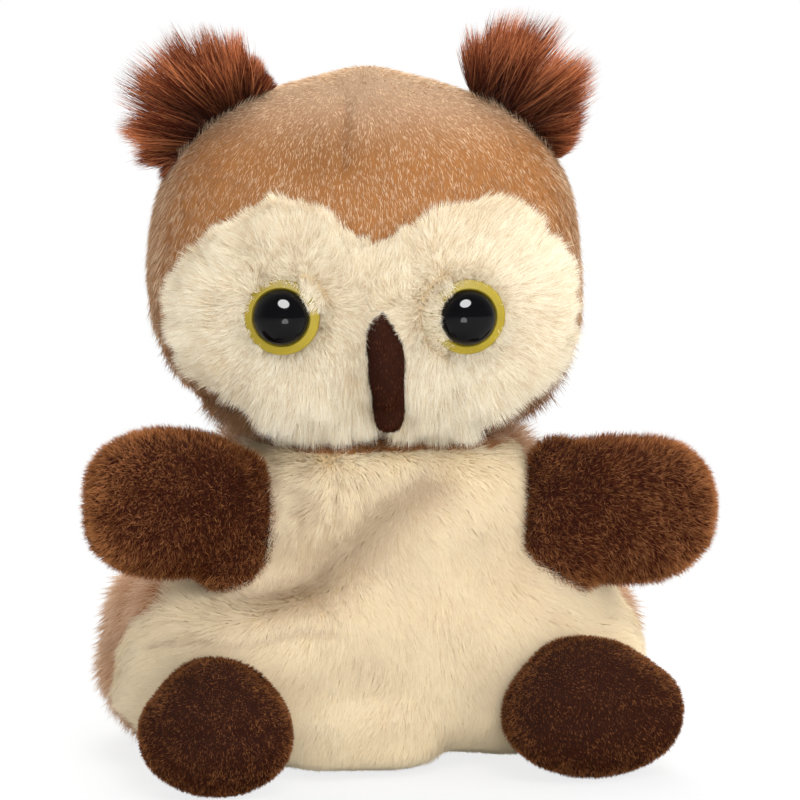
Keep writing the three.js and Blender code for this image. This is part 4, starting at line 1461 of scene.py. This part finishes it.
def make_eye(side_name):
    """The disc and the dome of one eye."""
    place = eye_place(side_name)
    for part, profile, material, slot in (
        ("iris", iris_profile, iris_plastic, "iris_plastic"),
        ("pupil", pupil_profile, pupil_plastic, "pupil_plastic"),
    ):
        points, triangles, quads = revolved(profile, eye_turns)
        made = mesh_object(f"eye_{side_name}_{part}_turned", points, [triangles, quads], place)
        made.data.materials.append(material)
        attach(made, "head")
        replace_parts(made, f"eye_{side_name}_{part}")
    print(f"eye_{side_name}", "faces", [round(value, 2) for value in place[:3, 2] / MM])


for side_name in sides:
    make_eye(side_name)

# %% [markdown]
# ## Beak
#
# The beak is a narrow drop of velvet, pointed above and blunt below. It bulges to one side a little, as
# hand-turned small pieces do.

# %% Beak
beak_top = 74.5
beak_bottom = 55.5


def front_of_head(height):
    """The Y of the head's front at a height: the skin's reach from the head's middle plane, found by
    stepping back from the front."""
    steps = np.linspace(-45, 0, 451)
    points = np.stack([np.zeros(len(steps)), steps, np.full(len(steps), height)], -1)
    return float(steps[np.argmax(pull(points, head_lobes) > 0)])


def make_beak():
    """Three lobes in a line on the face, from a blunt one below to a slim one above, with short velvet."""
    length = beak_top - beak_bottom
    low, middle, high = (beak_bottom + length * share for share in (0.3, 0.55, 0.78))
    low_y, middle_y, high_y = (front_of_head(height) for height in (low, middle, high))
    lobes = [
        lobe((beak_offset + 0.9, low_y - 1.2, low - 0.6), (2.45, 3.2, length * 0.3), 3.2),
        lobe((beak_offset + 0.35, middle_y - 0.9, middle), (2.85, 3.4, length * 0.38)),
        lobe((beak_offset - 0.9, high_y - 0.3, high), (2.1, 2.5, length * 0.27)),
    ]
    form = skin_form(lobes, (beak_offset, middle_y, middle), 60, 48)
    nodes = ["beak_skin", "beak_fill"]
    skin_piece("beak_sewn", form, head_place, "head", nodes, one_dye("foot"))
    roots, normals = scatter(form, 5000, everywhere, 111)
    random = np.random.default_rng(112)
    comb = np.tile([0.0, 0, -1.0], (len(roots), 1))
    lie = combed(comb, normals, 0.25 * random.normal(size=len(roots)))
    length = 0.8 * random.uniform(0.7, 1.2, len(roots))
    made = grow(
        "beak_pile", roots, normals, lie, length, head_place, "beak pile", 113,
        lift=35, tip_lift=20, width=0.14, locks=((0.4, 0.3),), tone=0.08 + 0.1 * ripple(roots, 2.5, 26),
        fleck=0.16, tone_spread=0.18, glint=0.7,
    )
    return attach(made, "head")


make_beak()

# %% [markdown]
# ## Inner pieces
#
# The neck plug and the pellet pouch are plain stuffed pieces that nobody sees, and the eye washers are turned
# discs that the frame's own solids show well enough. They still get a cloth or plastic finish of their own,
# so that the model is whole when it is taken apart.

# %% Inner pieces


def plain_finish(name, colour, scale, roughness):
    """A colour mottled by noise, with a fine bump."""
    material, tree, shader = new_material(name)
    noise = object_noise(tree, scale)
    darker = tuple(value * 0.8 for value in colour[:3]) + (1.0,)
    looks = {"Base Color": colour_mix(tree, noise, darker, colour), "Roughness": roughness}
    fill_inputs(tree, shader, looks | {"Normal": fine_bump(tree, noise, 0.0003)})
    return material


def inner_cushion(name, nodes, body, colour):
    """A plain stuffed piece that fills the box of its first node: one lobe with the box's half sides."""
    low, high = (np.array(corner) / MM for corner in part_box(nodes[0]))
    middle = (low + high) / 2
    form = skin_form([lobe(middle, (high - low) / 2, 2.4)], middle, 36, 56)
    made = mesh_object(name, form["points"], [form["triangles"], form["quads"]], metres_at((0, 0, 0)))
    made.data.materials.append(plain_finish(f"{name} cloth", linear(*colour), 900, 0.95))
    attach(made, body)
    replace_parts(made, *nodes)
    print(name, "fills", nodes)


inner_cushion("neck_plug", ["neck_skin", "neck_fill"], "neck", (150, 98, 56))
inner_cushion("pellet_pouch", ["pellet_bag"], "torso", (220, 216, 204))
washer_plastic = plain_finish("washer plastic", linear(228, 228, 222), 300, 0.5)
for side_name in sides:
    slots = frame["nodes"][f"eye_{side_name}_washer"].data.materials
    slots.clear()
    slots.append(washer_plastic)
print("inner pieces finished")

# %% [markdown]
# ## Light and floor
#
# The photograph is lit by one large soft lamp above the camera, a wide soft light from the right, and
# white all round. The floor is pale and keeps the toy's shadow; a little is added to it only where the
# camera sees it directly, so that it meets the white background without a line.

# %% Lamps
lamp_aim = np.array([0, 0, 0.06])


def area_lamp(name, azimuth, elevation, distance, size, energy):
    """A round area lamp that faces the toy's middle from two angles, in degrees, and a distance in metres."""
    axes = view_axes(math.radians(azimuth), math.radians(elevation))
    data = bpy.data.lights.new(name, "AREA")
    data.shape = "DISK"
    data.size = size
    data.energy = energy
    lamp = bpy.data.objects.new(name, data)
    lamp.matrix_world = placed(axes, lamp_aim + axes[2] * distance).T.tolist()
    bpy.context.scene.collection.objects.link(lamp)
    return lamp


for name, azimuth, elevation, distance, size, energy in (
    ("key", 6, 50, 0.8, 0.4, 2.7),
    ("right fill", 60, 30, 1.1, 0.9, 4.4),
    ("front fill", -4, 0, 1.1, 0.7, 7.6),
    ("rim light", 172, 58, 0.9, 0.6, 7.0),
):
    area_lamp(name, azimuth, elevation, distance, size, energy).visible_glossy = False
for name, azimuth, elevation, distance, size, energy in (
    ("eye light", -12, 45, 0.8, 0.48, 38.0),
    ("low eye light", -12, -9, 0.26, 0.08, 0.2),
):
    eye_light = area_lamp(name, azimuth, elevation, distance, size, energy)
    eye_light.visible_diffuse = False
    eye_light.visible_transmission = False
print("lamps:", sorted(light.name for light in bpy.data.lights))

# %% White room


def smooth_range(tree, value, given, answers):
    """A smooth step of a value between two given ones, from the first answer to the last."""
    ends = dict(zip(("From Min", "From Max", "To Min", "To Max"), (*given, *answers)))
    step = add_node(tree, "MapRange", {"Value": value} | ends, interpolation_type="SMOOTHSTEP")
    return step.outputs["Result"]


def make_world():
    """White to the camera and through glass. As light and in reflections it is white behind the toy, where
    the backdrop hangs, and falls smoothly to a dim room in front of it: by the ray's Y direction."""
    world = bpy.data.worlds.new("white studio")
    bpy.context.scene.world = world
    world.use_nodes = True
    tree = world.node_tree
    split = add_node(tree, "SeparateXYZ", {0: add_node(tree, "TexCoord").outputs["Generated"]})
    room = smooth_range(tree, split.outputs["Y"], (-0.5, 0.5), (0.3, 1.0))
    path = add_node(tree, "LightPath").outputs
    seen = calculated(tree, "MAXIMUM", path["Is Camera Ray"], path["Is Transmission Ray"])
    strength = calculated(tree, "MAXIMUM", seen, room)
    fill_inputs(tree, tree.nodes["Background"], {"Color": (1, 1, 1, 1), "Strength": strength})


make_world()
print("nodes of the world:", len(bpy.context.scene.world.node_tree.nodes))

# %% Floor


def make_floor():
    """A wide square on the floor. To the camera alone four fifths of it is the background's white by the
    toy, and all of it from 0.2 m on."""
    points = np.array([[-3, -3, 0], [3, -3, 0], [3, 3, 0], [-3, 3, 0]], float)
    floor = mesh_object("floor", points, [np.array([[0, 1, 2, 3]])], np.eye(4))
    material, tree, shader = new_material("pale floor")
    looks = {"Base Color": (0.78, 0.78, 0.78, 1), "Roughness": 0.9, "Specular IOR Level": 0.0}
    fill_inputs(tree, shader, looks)
    white = add_node(tree, "Emission", {"Color": (1, 1, 1, 1)}).outputs[0]
    place = add_node(tree, "TexCoord").outputs["Object"]
    away = add_node(tree, "VectorMath", {0: place}, operation="LENGTH").outputs["Value"]
    whiter = smooth_range(tree, away, (0.04, 0.2), (0.8, 1.0))
    share = calculated(tree, "MULTIPLY", add_node(tree, "LightPath").outputs["Is Camera Ray"], whiter)
    veiled = shader_mix(tree, share, shader.outputs[0], white)
    fill_inputs(tree, tree.nodes["Material Output"], {"Surface": veiled})
    floor.data.materials.append(material)
    return floor


floor = make_floor()
bpy.context.scene.view_settings.view_transform = "Standard"
print("floor points:", len(floor.data.vertices))
